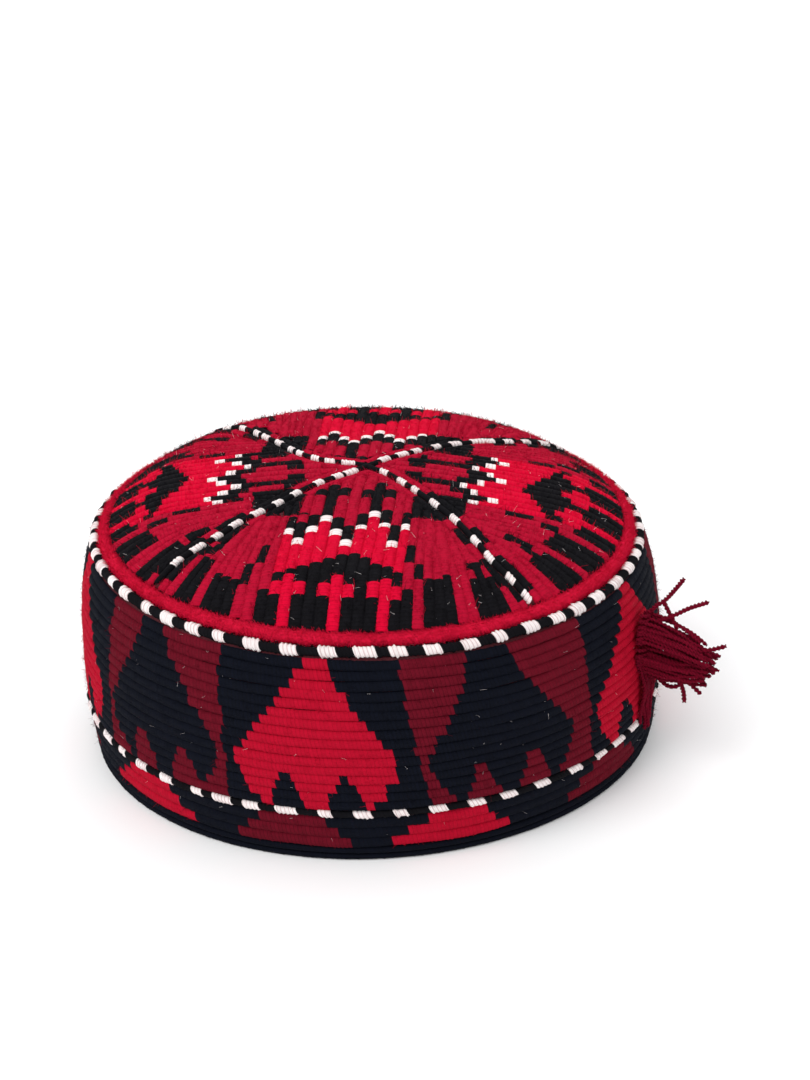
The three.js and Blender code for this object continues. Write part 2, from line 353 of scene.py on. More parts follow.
@dataclass(frozen=True)
class CapForm:
    """The cap's main surfaces, with the sizes that its solids have.

    Attributes:
        axis_x: Where the cap's axis stands in the shared frame, in millimetres.
        seam_radius: Middle of the piping.
        seam_height: Height of the piping over the floor.
        crown_rise: Middle of the crown above the piping.
        crown_edge: Outer edge of the crown panel.
        lean_x: How far the seam rises per millimetre towards +X.
        lean_y: How far it rises per millimetre towards the back.
        swell: How much higher the crown's embroidery bulges near its back edge.
        swell_from: Where that bulge begins and ends, behind the axis.
        band: Height and radius of the side band, as shares of the seam's.
        crown: Radius as a share of the seam's, and height as a share of the rise.
    """

    axis_x: float
    seam_radius: float = 91.3
    seam_height: float = 70.8
    crown_rise: float = 20.4
    crown_edge: float = 84.975
    lean_x: float = -0.03
    lean_y: float = 0.025
    swell: float = 1.6
    swell_from: tuple = (35.0, 87.0)
    band: tuple = ((0.0, 1.058), (0.25, 1.079), (0.44, 1.08), (0.63, 1.073), (0.84, 1.05), (1.0, 1.015))
    crown: tuple = (
        (0.0, 1.0),
        (0.25, 0.965),
        (0.45, 0.87),
        (0.62, 0.765),
        (0.76, 0.64),
        (0.87, 0.42),
        (0.95, 0.19),
        (1.0, 0.0),
    )

    def band_radius(self, z: Array) -> Array:
        """Radius of the band's outer face at heights z."""
        return self.seam_radius * smooth_value(self.band, np.asarray(z, float) / self.seam_height)

    def crown_height(self, r: Array) -> Array:
        """Height of the crown's top face at radii r."""
        share = smooth_value(self.crown, np.asarray(r, float) / self.seam_radius)
        return self.seam_height + self.crown_rise * share

    def crown_points(self, x: Array, y: Array) -> tuple[Array, Array]:
        """Find points of the crown's top face and the normals there.

        Args:
            x: Places to the right of the axis.
            y: Places behind it.

        Returns:
            The points, and the outward normals.
        """
        r = np.hypot(x, y)
        step = 0.5
        slope = (self.crown_height(r + step) - self.crown_height(np.abs(r - step))) / (2 * step)
        away = np.stack([x, y], -1) / np.maximum(r, 1e-6)[..., None]
        normals = np.concatenate([-away * slope[..., None], np.ones(r.shape)[..., None]], -1)
        normals /= np.linalg.norm(normals, axis=-1, keepdims=True)
        begin, end = self.swell_from
        bulge = self.swell * np.sin(np.pi * np.clip((y - begin) / (end - begin), 0.0, 1.0))
        return np.stack([x, y, self.crown_height(r) + bulge], -1), normals

    def settled(self, points: Array) -> Array:
        """Lean points over the level hem and move them into the shared frame, in metres.

        Args:
            points: Points in the cap's upright frame, in millimetres.

        Returns:
            The points in the shared frame, in metres.
        """
        share = np.clip(points[:, 2] / self.seam_height, 0.0, 1.0)
        made = points.copy()
        made[:, 2] += share * (self.lean_x * points[:, 0] + self.lean_y * points[:, 1])
        made[:, 0] += self.axis_x
        return made * MM


def around(r: Array, azimuth: Array, z: Array) -> Array:
    """Turn distances to the axis, azimuths and heights into points.

    Args:
        r: Distances to the axis.
        azimuth: Azimuths in degrees.
        z: Heights.

    Returns:
        The points.
    """
    a = np.radians(azimuth)
    r, a, z = np.broadcast_arrays(r, a, z)
    return np.stack([r * np.sin(a), -r * np.cos(a), z], -1)


def signed(angle: Array) -> Array:
    """Bring angles in degrees to between -180 and 180."""
    return (angle + 180.0) % 360.0 - 180.0


def unit(vectors: Array) -> Array:
    """Scale vectors to length 1."""
    return vectors / np.maximum(np.linalg.norm(vectors, axis=-1, keepdims=True), 1e-9)


class MeshSheet:
    """Collects patches of quads with materials and a map in millimetres, and makes one piece."""

    def __init__(self, form: CapForm) -> None:
        """Start an empty sheet.

        Args:
            form: The cap's form, which moves the points into the shared frame.
        """
        self.form = form
        self.points: list[Array] = []
        self.quads: list[Array] = []
        self.dyes: list[Array] = []
        self.maps: list[Array] = []
        self.roots: list[tuple[Array, ...]] = []
        self.count = 0

    def add_grids(self, grids: Array, dyes: Array, along: Array, across: Array, wraps: bool = False) -> None:
        """Add grids of points as quads.

        Args:
            grids: Points by grid, then by row, then by column.
            dyes: Number of the material of each row of quads, by grid.
            along: Place of each row in the map.
            across: Place of each column in the map, by grid.
            wraps: Whether the last column joins the first.
        """
        pieces, rows, columns = grids.shape[:3]
        number = np.arange(pieces * rows * columns).reshape(pieces, rows, columns) + self.count
        a = np.arange(columns if wraps else columns - 1)
        b = (a + 1) % columns
        low, high = number[:, :-1], number[:, 1:]
        quads = np.stack([low[..., a], low[..., b], high[..., b], high[..., a]], -1)
        u = np.stack([along[:-1], along[:-1], along[1:], along[1:]], -1)[None, :, None]
        past = across[:, -1:] + 0.01
        to = np.concatenate([across, past], 1)[:, a + 1]
        v = np.stack([across[:, a], to, to, across[:, a]], -1)[:, None]
        self.points.append(grids.reshape(-1, 3))
        self.quads.append(quads.reshape(-1, 4))
        self.dyes.append(np.repeat(dyes, len(a), axis=-1).ravel())
        maps = np.stack([np.broadcast_to(u, quads.shape), np.broadcast_to(v, quads.shape)], -1)
        self.maps.append(maps.reshape(-1, 2))
        self.count += pieces * rows * columns

    def add_grid(self, grid: Array, dyes: Array, along: Array, across: Array, wraps: bool = False) -> None:
        """Add one grid of points as quads, as add_grids does."""
        self.add_grids(grid[None], dyes[None], along, across[None], wraps)

    def make(self, name: str, materials: list[Material], slot: str, *nodes: str) -> None:
        """Make the piece, put it on the cap's body and log it.

        Args:
            name: Name of the piece.
            materials: Its materials, in the order of the numbers used.
            slot: The record's material slot. It is not used.
            *nodes: CAD nodes that the piece stands for.
        """
        mesh = bpy.data.meshes.new(name)
        quads = np.concatenate(self.quads)
        mesh.from_pydata(self.form.settled(np.concatenate(self.points)).tolist(), [], quads.tolist())
        mesh.polygons.foreach_set("material_index", np.concatenate(self.dyes).astype(np.int32))
        mesh.polygons.foreach_set("use_smooth", np.ones(len(quads), bool))
        mesh.uv_layers.new(name=STITCH_MAP)
        places = np.concatenate(self.maps).astype(np.float32)
        mesh.uv_layers[STITCH_MAP].data.foreach_set("uv", places.ravel())
        for material in materials:
            mesh.materials.append(material)
        mesh.update()
        made = bpy.data.objects.new(name, mesh)
        bpy.context.scene.collection.objects.link(made)
        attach(made, "root")
        if nodes:
            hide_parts(*nodes)
        LOG.info("%s: %d quads", name, len(quads))


@dataclass(frozen=True)
class WrappedCord:
    """How a cord wrapped in floss is shaped.

    Attributes:
        stitch: Length of one wrap along the cord.
        groove: Depth of the groove between wraps, as a share of the radius.
        unevenness: How much one wrap's size differs from the next, as a share.
        slant: How far a wrap leans along the cord, from one side to the other.
        reach: Half the angle of the section that is built, in degrees from the outward normal.
        sides: Faces across the section.
        tapered: Size of an open end, as a share of the cord's.
        slip: How far wraps lie out of step along the cord, as a share of a wrap.
        facing: Least cosine between a face and the outward normal where loose fibres grow.
    """

    stitch: float = 1.25
    groove: float = 0.07
    unevenness: float = 0.04
    slant: float = 0.35
    reach: float = 105.0
    sides: int = 6
    tapered: float = 0.8
    slip: float = 0.06
    facing: float = 0.1

    def sweep(
        self,
        sheet: MeshSheet,
        path: Array,
        normals: Array,
        half_width: Array,
        height: Array,
        dyes: Array,
        number: int,
        rng: Random,
        closed: bool = False,
    ) -> None:
        """Add one wrapped cord to a sheet, with two rows of quads to each stitch.

        Args:
            sheet: The sheet that the cord goes into.
            path: Points along the cord's middle, an odd count: stitch edges and middles in turn.
            normals: Outward normals there.
            half_width: Half the cord's width there.
            height: Its height over the path there.
            dyes: The dye of each stitch.
            number: The cord's number, which sets the tones of its stitches.
            rng: Random numbers for the unevenness.
            closed: Whether the cord goes round and ends where it starts.
        """
        count = len(dyes)
        if closed:
            ahead = np.concatenate([path[1:], path[1:2]])
            behind = np.concatenate([path[-2:-1], path[:-1]])
            ways = unit(ahead - behind)
        else:
            ways = unit(np.gradient(path, axis=0))
        sideways = unit(np.cross(ways, normals))
        size = np.full(2 * count + 1, 1.0 - self.groove)
        size[1::2] = 1.0 + self.unevenness * rng.standard_normal(count)
        if closed:
            size[-1] = size[0]
        else:
            size[[0, -1]] *= self.tapered
        angle = np.radians(np.linspace(-self.reach, self.reach, self.sides + 1))
        shift = np.zeros(2 * count + 1)
        shift[1::2] = self.slip * self.stitch * rng.standard_normal(count)
        lean = (self.slant * np.sin(angle))[None, :] + shift[:, None]
        grid = (
            path[:, None]
            + sideways[:, None] * (size * half_width)[:, None, None] * np.sin(angle)[None, :, None]
            + normals[:, None] * (size * height)[:, None, None] * np.cos(angle)[None, :, None]
            + ways[:, None] * lean[..., None]
        )
        if closed:
            grid[-1] = grid[0]
        along = np.arange(2 * count + 1) / 2 * self.stitch
        across = number + np.linspace(*CORD_SPAN, self.sides + 1)
        sheet.add_grid(grid, np.repeat(dyes, 2), along, across)
        upper = np.nonzero(np.cos(angle) > self.facing)[0]
        crests = grid[1::2][:, upper]
        out = unit(crests - path[1::2, None])
        along_cord = np.broadcast_to(ways[1::2, None], crests.shape)
        roots = [part.reshape(-1, 3) for part in (crests, out, along_cord)]
        sheet.roots.append((*roots, np.repeat(dyes, len(upper))))

    def stations(self, length: float) -> int:
        """Count the stitches on a length of cord."""
        return max(2, int(round(length / self.stitch)))


@dataclass(frozen=True)
class LooseFibres:
    """Loose wool and cotton fibres that stand off the wrapped cords and soften them.

    Attributes:
        count: How many there are.
        length: Their usual length.
        radius: Radius at the root. It is that of a few fibres together, because one is too fine to show.
        lift: How far they rise from the cord, as a share of their length.
        lint: Share of them that is pale lint.
        lint_size: Thickness of the lint, as a share of the others'.
        combed: How much they lie along the cord, as a share of how much they lie across it.
        sizes: Shortest and longest, as shares of the usual length.
        lifts: Flattest and steepest, as shares of the usual lift.
        laid: How far they reach along the surface, as a share of their length.
        stray: How far their tips stray from that, as a share of their length.
        spread: How far from a stitch's middle they grow, in millimetres along the cord.
        rooted: How deep they start in the cord, in millimetres.
        tip: Radius of the tip, as a share of the root's.
        askew: A direction that hardly any fibre has, which squares up their sections.
    """

    count: int
    length: float
    radius: float
    lift: float
    lint: float = 0.0
    lint_size: float = 0.55
    combed: float = 0.6
    sizes: tuple = (0.5, 1.5)
    lifts: tuple = (0.3, 1.7)
    laid: float = 0.8
    stray: float = 0.22
    spread: float = 0.7
    rooted: float = 0.1
    tip: float = 0.4
    askew: tuple = (0.31, 0.47, 0.83)

    def grow(self, source: MeshSheet, sheet: MeshSheet, rng: Random) -> None:
        """Grow fibres from the cords of one sheet into another.

        Args:
            source: The sheet with the cords.
            sheet: The sheet for the fibres.
            rng: Random numbers.
        """
        roots, normals, ways, dyes = (np.concatenate(part) for part in zip(*source.roots))
        soft = np.nonzero(dyes != int(Dye.WHITE))[0]
        chosen = soft[rng.integers(0, len(soft), self.count)]
        root, normal, way = roots[chosen], normals[chosen], ways[chosen]
        root = root + way * rng.uniform(-self.spread, self.spread, self.count)[:, None]
        size = self.length * rng.uniform(*self.sizes, self.count)
        turn = rng.uniform(0, 2 * math.pi, self.count)
        beside = np.cross(way, normal)
        flat = unit(self.combed * way * np.cos(turn)[:, None] + beside * np.sin(turn)[:, None])
        bend = rng.normal(0, self.stray, (self.count, 3)) * size[:, None]
        rise = self.lift * size * rng.uniform(*self.lifts, self.count)
        foot = root - self.rooted * normal
        tip = root + normal * rise[:, None] + self.laid * flat * size[:, None] + bend
        pale = rng.random(self.count) < self.lint
        girth = self.radius * np.where(pale, self.lint_size, 1.0)
        self.tubes(sheet, np.stack([foot, tip], 1), girth, np.where(pale, int(Dye.WHITE), dyes[chosen]))

    def tubes(self, sheet: MeshSheet, ends: Array, girth: Array, dyes: Array) -> None:
        """Add fibres as narrow three-sided tubes that taper to their tips.

        Args:
            sheet: The sheet for them.
            ends: Foot and tip of each fibre.
            girth: Radius of each at its foot.
            dyes: Number of each fibre's material.
        """
        way = unit(ends[:, 1] - ends[:, 0])
        side = unit(np.cross(way, np.array(self.askew)))
        up = np.cross(way, side)
        angle = 2 * math.pi * np.arange(3) / 3
        ring = side[:, None] * np.cos(angle)[:, None] + up[:, None] * np.sin(angle)[:, None]
        size = girth[:, None] * np.array([1.0, self.tip])
        across = np.arange(len(ends))[:, None] + np.linspace(*THREAD_SPAN, 3)
        grids = ends[:, :, None] + ring[:, None] * size[..., None, None]
        within_a_stitch = np.array([0.2, 0.8])
        sheet.add_grids(grids, dyes[:, None], within_a_stitch, across, wraps=True)


@dataclass(frozen=True)
class RingPlace:
    """Where a cord that goes round the cap lies.

    Attributes:
        radius: Distance of its middle from the axis.
        height: Height of its middle.
        half_width: Half its width along the cap's outline.
        relief: Its height out of the outline.
        tilt: Direction that it faces, in degrees above the horizon.
    """

    radius: float
    height: float
    half_width: float
    relief: float
    tilt: float

    def path(self, cord: WrappedCord) -> tuple[Array, Array, Array]:
        """Lay out a ring with two stations to a stitch, from the middle of the back.

        Args:
            cord: The cord that follows it.

        Returns:
            Azimuths in degrees, the points, and the outward normals.
        """
        stitches = cord.stations(2 * math.pi * self.radius)
        azimuth = np.linspace(0.0, 360.0, 2 * stitches + 1) - 180.0
        points = around(self.radius, azimuth, self.height)
        tilt = math.radians(self.tilt)
        normals = around(math.cos(tilt), azimuth, math.sin(tilt))
        return azimuth, points, normals


def wavering(rng: Random, azimuth: Array, amount: float, waves: int = 9) -> Array:
    """Make a slow random waver round the cap that closes on itself.

    Args:
        rng: Random numbers.
        azimuth: Places in degrees.
        amount: Typical size of the waver.
        waves: How many frequencies it mixes.

    Returns:
        The waver at each place.
    """
    made = np.zeros(len(azimuth))
    for k in range(1, waves + 1):
        made += rng.standard_normal() * np.cos(k * np.radians(azimuth) * 2 + rng.uniform(0, 2 * math.pi))
    return made * amount / math.sqrt(waves / 2)


@dataclass(frozen=True)
class Sector:
    """One field of the side band with its motif.

    Attributes:
        ground: Dyes of the motif and its field.
        middle: Azimuth of the motif's middle row.
        ends_top: Azimuth where the field ends at the top.
        ends_foot: Azimuth where it ends at the foot.
        skew: How far the motif's foot lies from its top, in degrees.
        blunt: How much wider its top row is than usual, to each side.
        pinch: How much narrower its widest rows are towards +X.
    """

    ground: Ground
    middle: float
    ends_top: float
    ends_foot: float
    skew: float = 0.0
    blunt: float = 0.0
    pinch: float = 0.0


@dataclass
class SideBand:
    """The side band: sixteen rows of wrapped cord with stepped motifs, and three below them.

    Attributes:
        form: The cap's form.
        foot: Height of the lowest row's lower edge.
        top: Height of the highest row's upper edge.
        groove: Lower and upper edge of the dashed cord's bed.
        upper_rows: Cords above the dashed cord.
        lower_rows: Cords below it.
        relief: How far a cord stands out of its own edges.
        thickness: Wall of the band.
        behind: How far the wall behind the cords lies inside the band's face.
        overlap: How far that wall goes on above and below the cords.
        cord: How its wraps are shaped.
        fibres: Loose fibres on the cords.
        pressed: Width of a cord, as a share of its row, so that it presses on the next.
        bedded: How deep a cord's middle lies in the band's face, as a share of its relief.
        waver: Slow unevenness of a cord's height, width and relief.
        stray: How far the hand strays from the chart at an edge, in degrees.
        leg_stray: How far it strays at the legs.
        strip_stray: How far it strays in the lower strip, in half width and in place.
        blunt_fades: How fast a blunt top becomes as narrow as usual, in shares of the band's height.
        pinch_from: Share of the way down where a pinched side begins.
        half_widths: Half the motif's width in each row from the top, in degrees.
        legs: Half the width of the two gaps between the motif's legs, in its last rows.
        leg_gap: Where those gaps are, in degrees from the motif's middle.
        strip_half_widths: Half the width of the lower strip's shapes in each row from the top.
        sectors: The fields of the upper rows, round the cap.
        strip: Azimuth of the middle and dye of each shape of the lower strip.
    """

    form: CapForm
    foot: float = 5.0
    top: float = 68.9
    groove: tuple = (16.4, 19.2)
    upper_rows: int = 16
    lower_rows: int = 3
    relief: float = 1.0
    thickness: float = 3.5
    behind: float = 1.3
    overlap: float = 0.3
    cord: WrappedCord = WrappedCord(groove=0.05, reach=90.0, sides=5)
    fibres: LooseFibres = LooseFibres(count=21000, length=1.5, radius=0.06, lift=0.12, lint=0.012)
    pressed: float = 1.12
    bedded: float = 0.6
    waver: tuple = (0.12, 0.03, 0.06)
    stray: float = 0.25
    leg_stray: float = 0.15
    strip_stray: tuple = (0.4, 0.3)
    blunt_fades: float = 3.0
    pinch_from: float = 0.3
    half_widths: tuple = (
        *(2.5, 3.2, 4.2, 5.5, 7, 8.5, 9.5, 10.8),
        *(12.2, 13.4, 14.5, 14.5, 14.2, 13.2, 12.2, 10.4),
    )
    legs: tuple = (1.1, 2.0, 2.6, 3.1)
    leg_gap: float = 5.25
    strip_half_widths: tuple = (5.6, 8.5, 11.5)
    sectors: tuple = (
        Sector(Ground.RED_ON_BLACK, -78.0, -59.5, -59.5),
        Sector(Ground.BLACK_ON_MAROON, -44.2, -29.5, -28.0, 3.0, 0.6, 2.2),
        Sector(Ground.RED_ON_BLACK, -11.3, 4.0, 8.5),
        Sector(Ground.BLACK_ON_MAROON, 22.7, 42.0, 43.5, 3.0, 1.6),
        Sector(Ground.RED_ON_BLACK, 59.5, 78.0, 78.0),
        Sector(Ground.BLACK_ON_MAROON, 96.5, 115.0, 114.5),
        Sector(Ground.RED_ON_BLACK, 133.0, 151.5, 152.0),
        Sector(Ground.BLACK_ON_MAROON, 170.0, 188.5, 188.0),
        Sector(Ground.RED_ON_BLACK, 207.0, 225.5, 225.0),
        Sector(Ground.BLACK_ON_MAROON, 244.0, 263.0, 263.0),
    )
    strip: tuple = (
        (-84.0, Dye.MAROON),
        (-48.0, Dye.BRIGHT_RED),
        (-16.0, Dye.MAROON),
        (13.2, Dye.BRIGHT_RED),
        (48.8, Dye.MAROON),
        (86.7, Dye.BRIGHT_RED),
        (124.5, Dye.MAROON),
        (162.4, Dye.BRIGHT_RED),
        (200.3, Dye.MAROON),
        (238.1, Dye.BRIGHT_RED),
    )

    def ring(self, z: float, half: float) -> RingPlace:
        """Place a cord of the band at a height.

        Args:
            z: Height of its middle.
            half: Half its width.

        Returns:
            Its place, sunk into the band's face as deep as the cords are bedded.
        """
        rise = float(self.form.band_radius(z + 1) - self.form.band_radius(z - 1)) / 2
        radius = float(self.form.band_radius(z)) - self.bedded * self.relief
        return RingPlace(radius, z, half, self.relief, -math.degrees(math.atan(rise)))

    def upper_dyes(self, row: int, azimuth: Array, rng: Random) -> Array:
        """Dye the stitches of one of the upper rows.

        Args:
            row: The row, 0 at the top.
            azimuth: Middles of its stitches, in degrees.
            rng: Random numbers for the hand's unevenness.

        Returns:
            A dye for each stitch.
        """
        down = row / (self.upper_rows - 1)
        ends = [
            s.ends_top + down * (s.ends_foot - s.ends_top) + rng.normal(0, self.stray)
            for s in self.sectors
        ]
        starts = [ends[-1] - 360.0, *ends[:-1]]
        dyes = np.full(len(azimuth), int(self.sectors[-1].ground.field))
        for sector, begin, end in zip(self.sectors, starts, ends):
            inside = self.between(azimuth, begin, end)
            dyes[inside] = int(sector.ground.field)
            middle = sector.middle + sector.skew * (down - 0.5)
            offset = signed(azimuth - middle)
            extra = sector.blunt * max(0.0, 1.0 - self.blunt_fades * down)
            pinched = sector.pinch * max(0.0, down - self.pinch_from)
            left = self.half_widths[row] + extra + rng.normal(0, self.stray)
            right = self.half_widths[row] + extra - pinched + rng.normal(0, self.stray)
            motif = (offset > -left) & (offset < right)
            leg_row = row - (self.upper_rows - len(self.legs))
            if leg_row >= 0:
                for side in (-self.leg_gap, self.leg_gap):
                    gap = self.legs[leg_row] + rng.normal(0, self.leg_stray)
                    motif &= np.abs(offset - side) > gap
            dyes[motif & inside] = int(sector.ground.motif)
        return dyes

    @staticmethod
    def between(azimuth: Array, begin: float, end: float) -> Array:
        """Tell which azimuths lie from begin to end, going towards +X."""
        return (azimuth - begin) % 360.0 < (end - begin) % 360.0

    def lower_dyes(self, row: int, azimuth: Array, rng: Random) -> Array:
        """Dye the stitches of one of the lower rows.

        Args:
            row: The row, 0 at the top.
            azimuth: Middles of its stitches, in degrees.
            rng: Random numbers for the hand's unevenness.

        Returns:
            A dye for each stitch.
        """
        dyes = np.full(len(azimuth), int(Dye.BLACK))
        size_stray, place_stray = self.strip_stray
        for middle, dye in self.strip:
            half = self.strip_half_widths[row] + rng.normal(0, size_stray)
            offset = signed(azimuth - middle - rng.normal(0, place_stray))
            dyes[np.abs(offset) < half] = int(dye)
        return dyes

    def build(self, flosses: list[Material], cloth: Material) -> None:
        """Make the rows of cord and the plain inside of the wall.

        Args:
            flosses: The wrapped floss materials, in the order of Dye.
            cloth: The material of the inside.
        """
        rng = np.random.default_rng(SEED + 1)
        sheet = MeshSheet(self.form)
        upper = np.linspace(self.top, self.groove[1], self.upper_rows + 1)
        lower = np.linspace(self.groove[0], self.foot, self.lower_rows + 1)
        rows = [(upper, k, self.upper_dyes) for k in range(self.upper_rows)]
        rows += [(lower, k, self.lower_dyes) for k in range(self.lower_rows)]
        up_down, in_width, in_relief = self.waver
        for number, (edges, k, dye) in enumerate(rows):
            half = (edges[k] - edges[k + 1]) / 2
            place = self.ring((edges[k] + edges[k + 1]) / 2, half)
            azimuth, points, normals = place.path(self.cord)
            points[:, 2] += wavering(rng, azimuth, up_down)
            widths = half * (self.pressed + wavering(rng, azimuth, in_width))
            reliefs = self.relief * (1.0 + wavering(rng, azimuth, in_relief))
            dyes = dye(k, azimuth[1::2], rng)
            self.cord.sweep(sheet, points, normals, widths, reliefs, dyes, number, rng, closed=True)
        sheet.make("side_band_cords", flosses, "band_embroidery", "side_band")
        fuzz = MeshSheet(self.form)
        self.fibres.grow(sheet, fuzz, rng)
        fuzz.make("side_band_fuzz", flosses, "band_embroidery")
        self.inside(cloth)

    def inside(self, cloth: Material) -> None:
        """Make the wall behind the cords, closed all round, with the plain inside face.

        Args:
            cloth: Its material.
        """
        rise = np.linspace(self.foot - self.overlap, self.top + self.overlap, 15)
        outer = np.stack([self.form.band_radius(rise) - self.behind, rise], -1)
        inner = np.stack([self.form.band_radius(rise) - self.thickness, rise], -1)[::-1]
        wall = turned(self.form, np.concatenate([outer, inner]))
        wall.make("side_band_inside", [cloth], "band_embroidery")


def turned(form: CapForm, profile: Array, steps: int = 180) -> MeshSheet:
    """Turn a closed profile round the cap's axis.

    Args:
        form: The cap's form.
        profile: Rows of radius and height.
        steps: Faces round the axis.

    Returns:
        A sheet that holds the surface.
    """
    sheet = MeshSheet(form)
    azimuth = np.linspace(0.0, 360.0, steps + 1)
    grid = around(profile[None, :, 0], azimuth[:, None], profile[None, :, 1])
    grid[-1] = grid[0]
    along = np.radians(azimuth) * form.seam_radius
    walked = np.concatenate([[0.0], np.cumsum(np.linalg.norm(np.diff(profile, axis=0), axis=1))])
    sheet.add_grid(grid, np.zeros(steps, int), along, walked, wraps=True)
    return sheet


@dataclass(frozen=True)
class Dashes:
    """White dashes between black ones round a cord.

    Attributes:
        seen: Azimuths of the middles of the white dashes at the front.
        hidden: How many more there are on the rest of the cord.
        share: Share of the cord that is white.
        stray: How far a hidden dash lies from its even place, in degrees.
        unevenness: How much one dash's length differs from the next, as a share.
    """

    seen: tuple
    hidden: int
    share: float
    stray: float = 0.35
    unevenness: float = 0.07

    def dyes(self, azimuth: Array, rng: Random) -> Array:
        """Dye the stitches of a dashed cord.

        Args:
            azimuth: Middles of the stitches, in degrees.
            rng: Random numbers for the hand's unevenness.

        Returns:
            A dye for each stitch.
        """
        rest = np.linspace(self.seen[-1], self.seen[0] + 360.0, self.hidden + 2)[1:-1]
        middles = np.concatenate([self.seen, rest + rng.normal(0, self.stray, self.hidden)])
        half = 180.0 * self.share / len(middles) * (1.0 + rng.normal(0, self.unevenness, len(middles)))
        offset = np.abs(signed(azimuth[:, None] - middles))
        return np.where((offset < half).any(1), int(Dye.WHITE), int(Dye.BLACK))


PIPING_DASHES = Dashes(
    seen=(
        *(-56.5, -49, -42.8, -36.5, -30.3, -23.5, -15.7, -8.5, -1.5),
        *(4.5, 11, 18.2, 24.5, 31.8, 38.2, 44, 50.5, 58),
    ),
    hidden=36,
    share=0.5,
)
LOWER_DASHES = Dashes(
    seen=(
        *(-49.5, -42.3, -35.2, -29.5, -23.5, -17, -9.8, -3),
        *(3.5, 10.3, 17.3, 23.7, 31, 38.3, 45.5, 51.8, 58),
    ),
    hidden=37,
    share=0.48,
)


@dataclass
class DashedRing:
    """A cord that goes round the cap in white and black dashes.

    Attributes:
        form: The cap's form.
        name: Name of the piece.
        node: The CAD node that it stands for.
        place: Where it lies.
        dashes: Its dashes.
        cord: How its wraps are shaped.
        white_size: Thickness where it is white, as a share.
        black_size: Thickness where it is black.
        waver: Slow unevenness of its height.
    """

    form: CapForm
    name: str
    node: str
    place: RingPlace
    dashes: Dashes
    cord: WrappedCord
    white_size: float = 1.08
    black_size: float = 0.95
    waver: float = 0.15

    @classmethod
    def piping(cls, form: CapForm) -> "DashedRing":
        """Lay out the piping of the seam, which faces a little upwards.

        Args:
            form: The cap's form.

        Returns:
            The piping.
        """
        half = 1.75
        place = RingPlace(form.seam_radius, form.seam_height, half_width=half, relief=half, tilt=15.0)
        cord = WrappedCord(stitch=1.3, groove=0.2, unevenness=0.09, slant=0.5, reach=150.0, sides=9)
        return cls(form, "seam_piping_wraps", "seam_piping", place, PIPING_DASHES, cord)

    @classmethod
    def lower(cls, form: CapForm) -> "DashedRing":
        """Lay out the dashed cord low on the side band, in its bed between two rows.

        Args:
            form: The cap's form.

        Returns:
            The cord.
        """
        height, sink = 17.8, 0.5
        radius = float(form.band_radius(height)) - sink
        place = RingPlace(radius, height, half_width=1.35, relief=1.45, tilt=0.0)
        cord = WrappedCord(stitch=1.35, groove=0.18, unevenness=0.08, slant=0.6, reach=120.0, sides=7)
        return cls(form, "lower_dashed_cord_wraps", "lower_dashed_cord", place, LOWER_DASHES, cord)

    def build(self, flosses: list[Material]) -> None:
        """Make the cord.

        Args:
            flosses: The wrapped floss materials, in the order of Dye.
        """
        rng = np.random.default_rng(SEED + len(self.name))
        sheet = MeshSheet(self.form)
        azimuth, points, normals = self.place.path(self.cord)
        dyes = self.dashes.dyes(azimuth[1::2], rng)
        plump = np.ones(len(azimuth))
        plump[1::2] = np.where(dyes == int(Dye.WHITE), self.white_size, self.black_size)
        plump[:-1:2] = (plump[1::2] + np.roll(plump[1::2], 1)) / 2
        plump[-1] = plump[0]
        points[:, 2] += wavering(rng, azimuth, self.waver)
        widths = self.place.half_width * plump
        reliefs = self.place.relief * plump
        self.cord.sweep(sheet, points, normals, widths, reliefs, dyes, 0, rng, closed=True)
        sheet.make(self.name, flosses, "dashed_cord", self.node)


@dataclass(frozen=True)
class DividerLine:
    """The way of one half of a dashed cord over the crown.

    Attributes:
        name: Where on the crown it is.
        azimuth: Where it reaches the rim.
        bow: Distance from the middle, and how far the cord lies beside its straight line there.
        dashes: Distances of the middles of its white dashes from the middle.
        crossing: Where the cords cross, in x and y.
        straight_from: Distance beyond which the crossing doesn't pull it.
    """

    name: str
    azimuth: float
    bow: tuple
    dashes: tuple
    crossing: tuple = (0.8, 1.2)
    straight_from: float = 8.0

    def points(self, r: Array, beside: float = 0.0) -> Array:
        """Find places on the line or on one that runs beside it.

        Args:
            r: Distances from the middle.
            beside: Distance of the line beside it, towards +X round the cap.

        Returns:
            Places in x and y.
        """
        way = around(1.0, self.azimuth, 0.0)[:2]
        side = np.array([-way[1], way[0]])
        free = np.clip(r / self.straight_from, 0.0, 1.0)[:, None]
        offset = smooth_value(self.bow, np.clip(r, 0.0, self.bow[-1][0]))
        line = r[:, None] * way + offset[:, None] * side * free + (1 - free) * np.array(self.crossing)
        ahead = unit(np.gradient(line, axis=0))
        return line + beside * np.stack([-ahead[:, 1], ahead[:, 0]], -1)

    def offset(self, x: Array, y: Array) -> tuple[Array, Array]:
        """Tell how far along the line and beside it points lie.

        Args:
            x: Places to the right of the axis.
            y: Places behind it.

        Returns:
            Distances along the line, and beside it towards +X round the cap.
        """
        way = around(1.0, self.azimuth, 0.0)[:2]
        along = x * way[0] + y * way[1]
        side = y * way[0] - x * way[1]
        return along, side - smooth_value(self.bow, np.clip(along, 0.0, self.bow[-1][0]))


